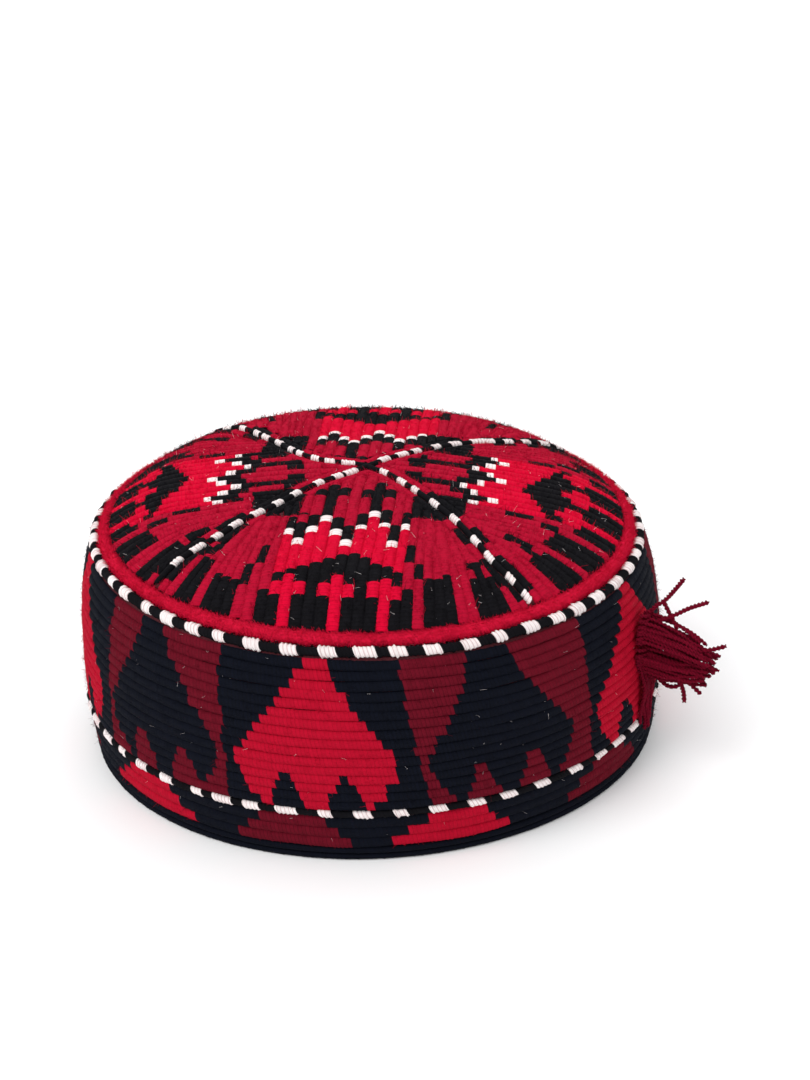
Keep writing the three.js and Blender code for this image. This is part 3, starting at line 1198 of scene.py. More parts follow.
DIVIDERS = (
    DividerLine(
        "front_right",
        azimuth=35.0,
        bow=(
            *((0, 1.5), (7, 3.0), (16, 3.0), (35, 2.7), (45, 2.2)),
            *((60, -0.4), (70, -2.2), (78, -1.2), (88, 0.0)),
        ),
        dashes=(6.9, 16.4, 24.3, 34.4, 45.3, 59.0, 68.0, 76.5, 83.5),
    ),
    DividerLine(
        "back_right",
        azimuth=124.0,
        bow=((0, 0.8), (9, 1.8), (23, 2.2), (40, 2.8), (50, 2.0), (60, -1.0), (67, -2.6), (88, -1.5)),
        dashes=(8.9, 17.0, 22.8, 31.5, 39.6, 49.2, 53.4, 60.3, 66.8, 75.0, 82.0),
    ),
    DividerLine(
        "back_left",
        azimuth=224.0,
        bow=(
            *((0, 0.5), (9, 2.3), (13, 4.2), (18, 5.4), (26, 5.2)),
            *((31, 4.2), (41, 1.1), (50, -0.8), (65, -3.2), (88, -2)),
        ),
        dashes=(6.9, 12.9, 18.4, 25.8, 31.3, 40.6, 49.7, 56.3, 64.5, 73.0, 81.0),
    ),
    DividerLine(
        "front_left",
        azimuth=309.0,
        bow=((0, 0.5), (19, -0.9), (37, 0.0), (54, 0.0), (66, 1.2), (77, -0.8), (88, -0.8)),
        dashes=(6.2, 11.4, 19.2, 29.0, 37.0, 45.8, 54.2, 63.0, 69.8, 76.8),
    ),
)


@dataclass(frozen=True)
class Block:
    """A block of black cords on the crown.

    Attributes:
        across: Its middle, to the side of the quadrant's middle line.
        out: Its middle, outwards from the crossing.
        cords: How many cords it covers.
        length: Its length along them.
    """

    across: float
    out: float
    cords: int
    length: float


@dataclass(frozen=True)
class Quadrant:
    """A quarter of the crown between two dashed cords.

    Attributes:
        first: The dashed cord on one side.
        last: The one on the other side, towards +X round the cap.
        mirrored: Whether its pattern runs the other way round.
        drawn_in: How much nearer to the crossing its pattern lies than the front quarter's.
        zigzag: Depth of the zigzag of its white tips, as a share of the front quarter's.
        aside: How far its middle cords lie from the middle line towards +X, as a share of a cord.
    """

    first: DividerLine
    last: DividerLine
    mirrored: bool = False
    drawn_in: float = 0.0
    zigzag: float = 1.0
    aside: float = 0.0

    @property
    def middle(self) -> float:
        """Azimuth of its middle line."""
        return self.first.azimuth + self.half

    @property
    def half(self) -> float:
        """Half its angle, in degrees."""
        return ((self.last.azimuth - self.first.azimuth) % 360.0) / 2


@dataclass(frozen=True)
class CordFan:
    """The cords of a quarter as straight lines inwards from the rim.

    Attributes:
        across: End of each cord at the rim, across the quarter's middle line.
        out: The same end, outwards along that line.
        turn: The cord's turn from that line, in radians.
        length: The length it would have between straight dividers.
        narrowest: Least width that a cord is given.
    """

    across: Array
    out: Array
    turn: Array
    length: Array
    narrowest: float = 0.9

    def places(self, k: int, depth: Array) -> tuple[Array, Array]:
        """Find places on cord k, across and outwards, at depths from the rim."""
        turn = self.turn[k]
        return self.across[k] - depth * np.sin(turn), self.out[k] - depth * np.cos(turn)

    def widths(self, k: int, depth: Array) -> Array:
        """Measure how far a cord's two neighbours lie apart, as the width that it has.

        Args:
            k: Which cord.
            depth: Distances from the rim.

        Returns:
            The width at each distance.
        """
        after, before = k + 1, k - 1
        opens_across = np.sin(self.turn[after]) - np.sin(self.turn[before])
        opens_out = np.cos(self.turn[after]) - np.cos(self.turn[before])
        gap_across = (self.across[after] - self.across[before] - depth * opens_across) / 2
        gap_out = (self.out[after] - self.out[before] - depth * opens_out) / 2
        gap = gap_across * math.cos(self.turn[k]) - gap_out * math.sin(self.turn[k])
        return np.maximum(gap, self.narrowest)


@dataclass(frozen=True)
class FlankCord:
    """How the cords beside the dashed cross are shaped and dyed.

    Attributes:
        start: Where one begins, as a share of its distance from the dashed cord.
        width: Its width, as a share of that distance.
        relief: Its height, as a share of the other cords'.
        diamond: Share of a black diamond's length that it crosses.
        black: Where it is black farther out.
        stray: How far those places stray.
    """

    start: float = 0.75
    width: float = 1.12
    relief: float = 0.95
    diamond: float = 0.7
    black: tuple = ((51.0, 61.0), (66.0, 84.0))
    stray: float = 1.5


@dataclass
class Crown:
    """The crown: cords that run out from the dashed cross, in four quarters with one pattern.

    Attributes:
        form: The cap's form.
        edge: Radius where the cords end, at the rim cord.
        pitch: Width of a cord.
        flank: Distance of the cord beside a divider from the divider's middle.
        clearance: Where a quarter's cords end before a divider, as a share of that distance.
        fan: How far the cords beside the dividers turn from the quarter's middle line, in degrees.
        parallel: Share of the quarter's cords that run parallel in its middle.
        relief: Height of a cord's section.
        tallest: Greatest height of a section, as a share of its width.
        sink: How far its edges lie under the crown's face.
        plump: Width of the motif's cords, as a share of their spacing, so that they press together.
        packed: That of the others, which are pressed flatter.
        uneven: How much one cord's width and relief differ from the next, as shares.
        sway: How far a cord sways aside, over what length, and where from the rim it fully does.
        shortest: Least length of a cord.
        thickness: Thickness of the crown.
        shell_gap: How far the shell lies under the cords' edges.
        shell_eye: Radius of the small hole where the shell closes at the axis.
        cord: How the wraps are shaped.
        flank_cord: How the cords beside the dashed cross differ.
        fibres: Loose fibres on the cords.
        quadrants: The four quarters.
        tips: Outward place of the white tip of each cord of the motif, from first_tip on.
        first_tip: Number of the motif's first cord, counted from the quarter's middle.
        tip_length: Length of a white tip.
        tip_shadow: Length of the black behind a tip, on even and odd cords.
        chevron: Outward places where each cord of the motif turns black, and where that ends.
        legs: Cords of the chevron that are black all the way to the rim.
        stems: Cord of each trefoil and outward place of its top.
        arms: Outward places where the trefoils' arms begin and end.
        foot_from: Outward place where the black blocks between the trefoils begin.
        blocks: Other black blocks.
        crosses: Cord, outward middle and length of the small black crosses.
        cross_arm: Outward places where their arms begin and end.
        diamond: Distance of the black diamonds from the crossing, and half their length and width.
        settles: Distance from the rim over which a quarter's pattern is drawn in or out.
        least: Spacing under which every other cord ends and leaves its place to the next.
        merges: Change of spacing over which the next one widens into that place.
    """

    form: CapForm
    edge: float = 86.2
    pitch: float = 3.85
    flank: float = 3.1
    clearance: float = 1.5
    fan: float = 40.0
    parallel: float = 0.2
    relief: float = 1.05
    tallest: float = 0.42
    sink: float = 0.7
    plump: float = 1.16
    packed: float = 1.32
    uneven: tuple = (0.04, 0.05)
    sway: tuple = (0.22, 7.0, 10.0)
    shortest: float = 2.0
    thickness: float = 3.0
    shell_gap: float = 0.1
    shell_eye: float = 0.5
    cord: WrappedCord = WrappedCord(stitch=1.15, groove=0.05, slant=0.15, reach=95.0)
    flank_cord: FlankCord = FlankCord()
    fibres: LooseFibres = LooseFibres(count=32500, length=1.7, radius=0.085, lift=0.11, lint=0.012)
    quadrants: tuple = (
        Quadrant(DIVIDERS[3], DIVIDERS[0], aside=0.45),
        Quadrant(DIVIDERS[0], DIVIDERS[1], mirrored=True, drawn_in=3.0, zigzag=0.65),
        Quadrant(DIVIDERS[1], DIVIDERS[2], drawn_in=13.0, zigzag=0.65),
        Quadrant(DIVIDERS[2], DIVIDERS[3], mirrored=True, drawn_in=-3.0, zigzag=0.65),
    )
    tips: tuple = (43.5, 49.1, 42.3, 35.5, 43.5, 49.7, 40.0, 31.7, 38.1, 48.3, 38.6)
    first_tip: int = -6
    tip_length: float = 3.0
    tip_shadow: tuple = (7.0, 9.0)
    chevron: tuple = (
        (66.7, 70.0),
        (65.0, 68.0),
        (63.6, 70.3),
        (61.5, 71.5),
        (59.4, 71.5),
        (57.5, 68.3),
        (56.3, 71.5),
        (58.5, 71.5),
        (61.0, 71.0),
        (62.5, 67.7),
        (64.8, 70.0),
    )
    legs: tuple = (-3, 1)
    stems: tuple = ((-5, 67.9), (-1, 68.2), (3, 67.6))
    arms: tuple = ((70.0, 74.8), (71.5, 76.0), (70.0, 74.8))
    foot_from: float = 74.5
    blocks: tuple = (
        Block(-24.2, 79.6, 2, 13.0),
        Block(18.2, 78.6, 2, 14.0),
        Block(30.0, 73.2, 3, 17.5),
        Block(-36.1, 73.7, 3, 15.0),
        Block(-48.0, 63.5, 2, 16.0),
        Block(44.5, 67.0, 3, 13.0),
        Block(42.0, 61.0, 1, 12.0),
        Block(-24.1, 57.4, 1, 9.7),
        Block(-27.7, 66.6, 1, 7.5),
        Block(20.8, 54.1, 1, 9.7),
        Block(23.0, 63.5, 1, 6.0),
        Block(37.7, 54.4, 1, 10.0),
        Block(-40.3, 51.8, 1, 8.0),
    )
    crosses: tuple = ((-3, 25.4, 20.4), (1, 22.0, 19.4))
    cross_arm: tuple = (17.0, 22.7)
    diamond: tuple = (36.5, 12.5, 13.0)
    settles: float = 22.0
    least: float = 2.1
    merges: float = 0.35

    @property
    def clear(self) -> float:
        """Distance from a divider's middle where a quarter's cords end."""
        return self.clearance * self.flank

    def lay_out(self, quadrant: Quadrant) -> CordFan:
        """Lay out a quarter's cords as straight lines inwards from the rim.

        Args:
            quadrant: The quarter.

        Returns:
            Its cords, and one more on either side.
        """
        half = math.radians(quadrant.half)
        widest = half - math.asin(self.clear / self.edge)
        pairs = round(self.edge * widest / self.pitch)
        place = (np.arange(-pairs - 1, pairs + 1) + 0.5) / pairs
        place += quadrant.aside / pairs * (1.0 - np.abs(place))
        angle = place * widest
        beyond = np.clip((np.abs(place) - self.parallel) / (1.0 - self.parallel), 0.0, None)
        turn = np.sign(place) * math.radians(self.fan) * beyond**2
        room = self.edge * np.sin(half - np.abs(angle)) - self.clear
        length = room / np.sin(half - np.abs(turn))
        return CordFan(self.edge * np.sin(angle), self.edge * np.cos(angle), turn, length)

    def pattern(self, cord: int, out: Array, places: Array, depth: Array, zigzag: float) -> Array:
        """Dye the stitches of one cord of a quarter.

        Args:
            cord: The cord's number from the quarter's middle.
            out: Places of its stitches outwards, as in the front quarter.
            places: Cord and depth from the rim of each block's middle.
            depth: Distances of the stitches from the cord's end at the rim.
            zigzag: Share of the depth of the white tips' zigzag.

        Returns:
            A dye for each stitch.
        """
        dyes = np.full(len(out), int(Dye.CRIMSON))
        number = cord - self.first_tip
        if 0 <= number < len(self.tips):
            level = sum(self.tips) / len(self.tips)
            tip = level + zigzag * (self.tips[number] - level)
            low, high = self.chevron[number]
            dyes[(out > tip) & (out < low)] = int(Dye.BRIGHT_RED)
            dyes[(out > tip) & (out < tip + self.tip_length)] = int(Dye.WHITE)
            dyes[(out > tip - self.tip_shadow[number % 2]) & (out < tip)] = int(Dye.BLACK)
            dyes[(out > low) & (out < high)] = int(Dye.BLACK)
            dyes[out > self.foot_from] = int(Dye.BLACK)
            if cord in self.legs:
                dyes[out > low] = int(Dye.BLACK)
            if cord == self.first_tip:
                dyes[out > high] = int(Dye.CRIMSON)
        for middle, centre, length in self.crosses:
            if cord == middle:
                dyes[np.abs(out - centre) < length / 2] = int(Dye.BLACK)
            if abs(cord - middle) == 1:
                dyes[(out > self.cross_arm[0]) & (out < self.cross_arm[1])] = int(Dye.BLACK)
        for block, (middle, deep) in zip(self.blocks, places):
            if abs(cord - middle) < block.cords / 2:
                dyes[np.abs(depth - deep) < block.length / 2] = int(Dye.BLACK)
        for (stem, top), (begin, end) in zip(self.stems, self.arms):
            if cord == stem:
                dyes[out > top] = int(Dye.BRIGHT_RED)
            if abs(cord - stem) == 1:
                dyes[(out > begin) & (out < end)] = int(Dye.BRIGHT_RED)
        return dyes

    def block_places(self, cords: Array, tracks: list[Array]) -> Array:
        """Find the cord and the depth from the rim at each block's middle.

        Args:
            cords: Numbers of the quarter's cords.
            tracks: For each of them, its points across and outwards, from the rim inwards.

        Returns:
            A cord number and a depth for each block.
        """
        places = []
        for block in self.blocks:
            nearest = [np.hypot(t[:, 0] - block.across, t[:, 1] - block.out).min() for t in tracks]
            k = int(np.argmin(nearest))
            track = tracks[k]
            at = int(np.argmin(np.hypot(track[:, 0] - block.across, track[:, 1] - block.out)))
            deep = float(np.hypot(*(track[at] - track[0])))
            places.append((float(cords[k]) + (0.5 if block.cords % 2 == 0 else 0.0), deep))
        return np.array(places)

    def diamonds(self, x: Array, y: Array) -> Array:
        """Tell which points lie in a black diamond on one of the dashed cords.

        Args:
            x: Places to the right of the axis.
            y: Places behind it.

        Returns:
            Whether each of them does.
        """
        inside = np.zeros(len(x), bool)
        middle, along_half, across_half = self.diamond
        for divider in DIVIDERS:
            along, side = divider.offset(x, y)
            inside |= np.abs(along - middle) / along_half + np.abs(side) / across_half < 1.0
        return inside

    def build(self, flosses: list[Material], cloth: Material) -> None:
        """Make the cords of the four quarters and the plain inside of the crown.

        Args:
            flosses: The wrapped floss materials, in the order of Dye.
            cloth: The material of the inside.
        """
        rng = np.random.default_rng(SEED + 2)
        sheet = MeshSheet(self.form)
        number = 0
        for quadrant in self.quadrants:
            number = self.quarter(sheet, quadrant, number, rng)
        for divider in DIVIDERS:
            for side in (-1, 1):
                self.flanking(sheet, divider, side, number, rng)
                number += 1
        sheet.make("crown_cords", flosses, "crown_embroidery", "crown_panel")
        fuzz = MeshSheet(self.form)
        self.fibres.grow(sheet, fuzz, rng)
        fuzz.make("crown_fuzz", flosses, "crown_embroidery")
        self.inside(cloth)

    def room(self, quadrant: Quadrant, at: Array) -> Array:
        """Measure how far points lie from a quarter's two dashed cords.

        Args:
            quadrant: The quarter.
            at: Points in x and y.

        Returns:
            Distances to the nearer cord, below zero beyond it.
        """
        _, after_first = quadrant.first.offset(at[:, 0], at[:, 1])
        _, before_last = quadrant.last.offset(at[:, 0], at[:, 1])
        return np.minimum(after_first, -before_last)

    def reach(self, quadrant: Quadrant, fan: CordFan, k: int, right: Array, outward: Array) -> float:
        """Find how far a cord runs inwards before it meets a dashed cord or has no room.

        Args:
            quadrant: The quarter.
            fan: Its cords.
            k: Which cord.
            right: Direction across the quarter.
            outward: Direction of its middle line.

        Returns:
            The cord's length.
        """
        step = 0.5
        tried = np.arange(self.shortest, self.edge, step)
        w, u = fan.places(k, tried)
        ended = self.room(quadrant, w[:, None] * right + u[:, None] * outward) < self.clear
        if k % 2:
            ended |= fan.widths(k, tried) < self.least
        met = np.nonzero(ended)[0]
        return tried[met[0]] if len(met) else tried[-1]

    def quarter(self, sheet: MeshSheet, quadrant: Quadrant, number: int, rng: Random) -> int:
        """Add one quarter's cords to a sheet.

        Args:
            sheet: The sheet.
            quadrant: The quarter.
            number: Number of its first cord.
            rng: Random numbers.

        Returns:
            The number after its last cord.
        """
        fan = self.lay_out(quadrant)
        pairs = len(fan.across) // 2
        cords = np.arange(-pairs, pairs)
        middle = math.radians(quadrant.middle)
        outward = np.array([math.sin(middle), -math.cos(middle)])
        right = np.array([math.cos(middle), math.sin(middle)]) * (-1.0 if quadrant.mirrored else 1.0)
        steps = 60
        tracks = [
            np.stack(fan.places(k, np.linspace(0, max(length, self.shortest), steps)), -1)
            for k, length in enumerate(fan.length)
        ]
        places = self.block_places(cords, tracks)
        swing, swing_length, swings_from = self.sway
        for k in range(1, len(cords) - 1):
            reach = self.reach(quadrant, fan, k, right, outward)
            stitches = self.cord.stations(reach)
            depth = np.linspace(0.0, reach, 2 * stitches + 1)
            w, u = fan.places(k, depth)
            spacing = fan.widths(k, depth)
            if not k % 2:
                freed = np.clip((self.least + self.merges - spacing) / self.merges, 0.0, 1.0)
                spacing = spacing * (1.0 + freed)
            phase = rng.uniform(0, 2 * math.pi)
            sway = swing * np.sin(depth / swing_length + phase) * np.minimum(depth / swings_from, 1.0)
            at = (w + sway)[:, None] * right + u[:, None] * outward
            points, normals = self.form.crown_points(at[:, 0], at[:, 1])
            pulled = quadrant.drawn_in * np.clip((self.edge - u[1::2]) / self.settles, 0.0, 1.0)
            dyes = self.pattern(int(cords[k]), u[1::2] + pulled, places, depth[1::2], quadrant.zigzag)
            dyes[self.diamonds(at[1::2, 0], at[1::2, 1])] = int(Dye.BLACK)
            points -= normals * self.sink
            in_motif = 0 <= int(cords[k]) - self.first_tip < len(self.tips)
            widths = spacing / 2 * rng.normal(self.plump if in_motif else self.packed, self.uneven[0])
            reliefs = np.minimum(self.relief, spacing * self.tallest) * rng.normal(1.0, self.uneven[1])
            self.cord.sweep(sheet, points, normals, widths, reliefs, dyes, number, rng)
            number += 1
        return number

    def flanking(self, sheet: MeshSheet, divider: DividerLine, side: int, number: int, rng: Random) -> None:
        """Add the cord that runs beside a dashed cord of the cross.

        Args:
            sheet: The sheet.
            divider: The dashed cord.
            side: Which side of it, -1 or 1.
            number: The cord's number.
            rng: Random numbers.
        """
        own = self.flank_cord
        start = own.start * self.flank
        stop = math.sqrt(self.edge**2 - self.flank**2)
        stitches = self.cord.stations(stop - start)
        r = np.linspace(start, stop, 2 * stitches + 1)
        at = divider.points(r, side * self.flank)
        points, normals = self.form.crown_points(at[:, 0], at[:, 1])
        dyes = np.full(stitches, int(Dye.CRIMSON))
        middle, half = self.diamond[:2]
        dyes[np.abs(r[1::2] - middle) < own.diamond * half] = int(Dye.BLACK)
        for begin, end in own.black:
            begin, end = rng.normal((begin, end), own.stray)
            dyes[(r[1::2] > begin) & (r[1::2] < end)] = int(Dye.BLACK)
        points -= normals * self.sink
        widths = np.full(len(r), self.flank / 2 * own.width)
        reliefs = np.full(len(r), own.relief * self.relief)
        self.cord.sweep(sheet, points, normals, widths, reliefs, dyes, number, rng)

    def inside(self, cloth: Material) -> None:
        """Make the shell under the cords, with the plain inside face.

        Args:
            cloth: Its material.
        """
        r = np.linspace(self.shell_eye, self.form.crown_edge, 24)
        outer = np.stack([r, self.form.crown_height(r) - self.sink - self.shell_gap], -1)
        inner = np.stack([r, self.form.crown_height(r) - self.thickness], -1)[::-1]
        shell = turned(self.form, np.concatenate([outer, inner]))
        shell.make("crown_inside", [cloth], "crown_embroidery")


@dataclass
class DividerCord:
    """Half a dashed cord of the crown's cross.

    Attributes:
        form: The cap's form.
        line: Its way and its dashes.
        stop: Radius where it ends.
        half_width: Half its width.
        relief: Its height.
        dash: Length of a white dash.
        sink: How far its middle lies under the crown's face.
        dash_shares: Shortest and longest dash, as shares of the usual one.
        white_size: Thickness where it is white, as a share.
        black_size: Thickness where it is black.
        cord: How its wraps are shaped.
    """

    form: CapForm
    line: DividerLine
    stop: float = 85.2
    half_width: float = 1.2
    relief: float = 1.3
    dash: float = 4.0
    sink: float = 0.35
    dash_shares: tuple = (0.8, 1.15)
    white_size: float = 1.12
    black_size: float = 0.9
    cord: WrappedCord = WrappedCord(stitch=1.1, groove=0.12, slant=0.45)

    def build(self, flosses: list[Material]) -> None:
        """Make the cord.

        Args:
            flosses: The wrapped floss materials, in the order of Dye.
        """
        rng = np.random.default_rng(SEED + int(self.line.azimuth))
        sheet = MeshSheet(self.form)
        stitches = self.cord.stations(self.stop)
        r = np.linspace(0.0, self.stop, 2 * stitches + 1)
        at = self.line.points(r)
        points, normals = self.form.crown_points(at[:, 0], at[:, 1])
        points -= normals * self.sink
        middles = np.array(self.line.dashes)
        half = self.dash / 2 * rng.uniform(*self.dash_shares, len(middles))
        white = (np.abs(r[1::2, None] - middles) < half).any(1)
        dyes = np.where(white, int(Dye.WHITE), int(Dye.BLACK))
        plump = np.ones(len(r))
        plump[1::2] = np.where(white, self.white_size, self.black_size)
        widths = self.half_width * plump
        self.cord.sweep(sheet, points, normals, widths, self.relief * plump, dyes, 0, rng)
        place = self.line.name
        sheet.make(f"divider_wraps_{place}", flosses, "dashed_cord", f"divider_cord_{place}")


@dataclass
class RimCord:
    """The fuzzy crimson wool cord inside the piping.

    Attributes:
        form: The cap's form.
        radius: Radius of its ring.
        height: Height of its ring.
        half: Half its thickness.
        tilt: Direction that it faces, in degrees above the horizon.
        flatness: Its height out of the cap, as a share of its half thickness.
        lumps: Size and number of frequencies of its uneven thickness, as a share.
        cord: How its wraps are shaped.
        fibres: Loose fibres on it.
    """

    form: CapForm
    radius: float = 87.7
    height: float = 73.0
    half: float = 1.95
    tilt: float = 58.0
    flatness: float = 0.85
    lumps: tuple = (0.055, 24)
    cord: WrappedCord = WrappedCord(
        stitch=1.0, groove=0.03, unevenness=0.06, slant=0.9, reach=150.0, sides=9
    )
    fibres: LooseFibres = LooseFibres(count=26000, length=1.15, radius=0.1, lift=0.5)

    def build(self, wool: Material) -> None:
        """Make the cord and its loose fibres.

        Args:
            wool: The material of both.
        """
        rng = np.random.default_rng(SEED + 3)
        sheet = MeshSheet(self.form)
        place = RingPlace(self.radius, self.height, self.half, self.half, self.tilt)
        azimuth, points, normals = place.path(self.cord)
        size = self.half * (1.0 + wavering(rng, azimuth, *self.lumps))
        dyes = np.zeros(len(azimuth) // 2, int)
        self.cord.sweep(sheet, points, normals, size, self.flatness * size, dyes, 0, rng, closed=True)
        self.fibres.grow(sheet, sheet, rng)
        sheet.make("crown_rim_cord_wool", [wool], "rim_cord", "crown_rim_cord")


@dataclass
class HemBinding:
    """The black wrapped edge of the hem, in two cords over a flat foot.

    Attributes:
        form: The cap's form.
        height: Height of the binding.
        wall: Thickness of the wall that it folds round.
        sink: How deep the middles of its cords lie in the wall's face.
        relief: Height of a cord over its middle.
        pressed: Width of a cord, as a share of its half of the binding.
        waver: Slow unevenness of the relief.
        floor: Height of the lowest points, which keeps them clear of the floor.
        core_sink: How far the core under the cords lies inside the wall's face.
        fold: How far its inner side bulges inwards.
        fold_edges: How far that side is rounded off at its foot and at its top.
        foot_edge: How far its foot is drawn in at the inner side.
        cord: How its wraps are shaped.
    """

    form: CapForm
    height: float = 4.7
    wall: float = 3.5
    sink: float = 0.9
    relief: float = 1.5
    pressed: float = 1.05
    waver: float = 0.05
    floor: float = 0.02
    core_sink: float = 0.4
    fold: float = 0.2
    fold_edges: tuple = (0.3, 0.2)
    foot_edge: float = 0.4
    cord: WrappedCord = WrappedCord(stitch=1.3, groove=0.09, slant=0.5, reach=120.0)

    def build(self, flosses: list[Material]) -> None:
        """Make the binding.

        Args:
            flosses: The wrapped floss materials, in the order of Dye.
        """
        rng = np.random.default_rng(SEED + 4)
        sheet = MeshSheet(self.form)
        half = self.height / 4
        for number, z in enumerate((half, 3 * half)):
            radius = float(self.form.band_radius(z)) - self.sink
            place = RingPlace(radius, z, half * self.pressed, self.relief, tilt=0.0)
            azimuth, points, normals = place.path(self.cord)
            widths = np.full(len(azimuth), place.half_width)
            reliefs = place.relief * (1.0 + wavering(rng, azimuth, self.waver))
            dyes = np.full(len(azimuth) // 2, int(Dye.BLACK))
            self.cord.sweep(sheet, points, normals, widths, reliefs, dyes, number, rng, closed=True)
        for points in sheet.points:
            points[:, 2] = np.maximum(points[:, 2], self.floor)
        sheet.make("hem_binding_wraps", flosses, "hem_binding", "hem_binding")
        self.core(flosses[Dye.BLACK])

    def core(self, floss: Material) -> None:
        """Make the flat foot and the plain inner side that the cords are wrapped over.

        Args:
            floss: Its material.
        """
        face = float(self.form.band_radius(0))
        outer, inner = face - self.core_sink, face - self.wall
        low, high = self.fold_edges
        profile = [
            [inner + self.foot_edge, self.floor],
            [outer, self.floor],
            [outer, self.height],
            [inner, self.height],
            [inner - self.fold, self.height - high],
            [inner - self.fold, low],
        ]
        turned(self.form, np.array(profile)).make("hem_binding_core", [floss], "hem_binding")


@dataclass
class Tassel:
    """The side tassel: a tied head and over a hundred twisted threads that stand out and droop.

    Attributes:
        form: The cap's form.
        azimuth: Where it is on the wall.
        height: Height of the middle of its root.
        root_height: Height of its root.
        root_width: Width of its root.
        clear: How far its root lies out of the wall.
        reach: How far it stands out of the wall.
        reaches: Shortest and longest thread of its body, as shares of that.
        threads: Threads in its body.
        crowding: Least and greatest share of the root's area that lies inside a thread's place.
        shorter: How much shorter the threads at the root's top and foot are, as a share.
        thread_radius: Radius of one ply of a thread.
        loose_radius: Radius of one ply of a thread that comes away from the body.
        twist: Length of one turn of the plies.
        laid: Distance of a ply's middle from the thread's, as a share of its radius.
        ply_step: Length of one face along a thread.
        ply_sides: Faces round a ply.
        bulge: How far the body's middle swells up and down.
        closing: How far in the tips lie up and along the wall, as shares of their places at the root.
        droop: Least and greatest drop of a tip.
        wave: How far a thread waves.
        waves: Fewest and most waves along it.
        hanging: Threads that hang down over the wall from the root.
        hanging_drop: Shortest and longest of them.
        hanging_from: Places of the first and the last, as shares of half the root's width.
        hanging_foot: How far under the root's middle they start, as a share of its height.
        hanging_swell: How far they lie off the wall at the root, and how much more over its edge.
        head_threads: Threads that tie the root.
        head_rise: How far they stand out.
        head_part: Share of the root's height that they cover.
        head_slant: How far their ends lie up or down from their middles.
        askew: A direction that hardly any thread has, which squares up their sections.
    """

    form: CapForm
    azimuth: float = 62.0
    height: float = 46.5
    root_height: float = 26.0
    root_width: float = 13.0
    clear: float = 0.4
    reach: float = 29.0
    reaches: tuple = (0.6, 0.93)
    threads: int = 84
    crowding: tuple = (0.05, 0.9)
    shorter: float = 0.2
    thread_radius: float = 0.43
    loose_radius: float = 0.52
    twist: float = 2.8
    laid: float = 0.8
    ply_step: float = 0.65
    ply_sides: int = 5
    bulge: float = 2.2
    closing: tuple = (0.5, 0.75)
    droop: tuple = (1.0, 5.0)
    wave: float = 0.8
    waves: tuple = (0.5, 1.1)
    hanging: int = 9
    hanging_drop: tuple = (15.0, 26.0)
    hanging_from: tuple = (-0.75, 0.6)
    hanging_foot: float = 0.3
    hanging_swell: tuple = (1.4, 1.2)
    head_threads: int = 16
    head_rise: float = 3.2
    head_part: float = 0.92
    head_slant: float = 0.8
    askew: tuple = (0.23, 0.11, 0.97)

    def point(self, out: Array, along: Array, up: Array) -> Array:
        """Place points from the tassel's root.

        Args:
            out: Distances out of the wall.
            along: Distances along it.
            up: Distances up.

        Returns:
            The points.
        """
        wall = float(self.form.band_radius(self.height)) + self.clear
        way = around(1.0, self.azimuth, 0.0)
        beside = around(1.0, self.azimuth + 90.0, 0.0)
        out, along, up = np.broadcast_arrays(out, along, up)
        made = way * (wall + out)[..., None] + beside * along[..., None]
        made[..., 2] = self.height + up
        return made

    def thread(self, sheet: MeshSheet, path: Array, number: int, phase: float, radius: float) -> None:
        """Add a thread of two twisted plies along a path.

        Args:
            sheet: The sheet.
            path: Points along the thread.
            number: Its number in the map.
            phase: Where its twist starts, in radians.
            radius: Radius of one ply.
        """
        walked = np.concatenate([[0.0], np.cumsum(np.linalg.norm(np.diff(path, axis=0), axis=1))])
        steps = max(6, int(walked[-1] / self.ply_step))
        even = np.linspace(0, walked[-1], steps + 1)
        path = np.stack([np.interp(even, walked, path[:, k]) for k in range(3)], -1)
        ways = unit(np.gradient(path, axis=0))
        side = unit(np.cross(ways, np.array(self.askew)))
        up = np.cross(ways, side)
        turn = 2 * math.pi * even / self.twist + phase
        angle = 2 * math.pi * np.arange(self.ply_sides) / self.ply_sides
        ring = side[:, None] * np.cos(angle)[None, :, None] + up[:, None] * np.sin(angle)[None, :, None]
        size = np.full(steps + 1, radius)
        size[[0, -1]] *= 0.5
        across = number + np.linspace(*THREAD_SPAN, self.ply_sides)
        for ply in (0.0, math.pi):
            away = side * np.cos(turn + ply)[:, None] + up * np.sin(turn + ply)[:, None]
            grid = (path + away * radius * self.laid)[:, None] + ring * size[:, None, None]
            sheet.add_grid(grid, np.zeros(steps, int), even, across, wraps=True)

    def build(self, wool: Material) -> None:
        """Make the tassel's threads, its head and the strands that come away from it.

        Args:
            wool: The material of the threads.
        """
        rng = np.random.default_rng(SEED + 5)
        sheet = MeshSheet(self.form)
        for number in range(self.threads):
            path = self.body_path(rng)
            self.thread(sheet, path, number, rng.uniform(0, 6), self.thread_radius)
        number = self.loose(sheet, rng, self.threads)
        self.head(sheet, rng, number)
        sheet.make("side_tassel_threads", [wool], "tassel_thread", "side_tassel")

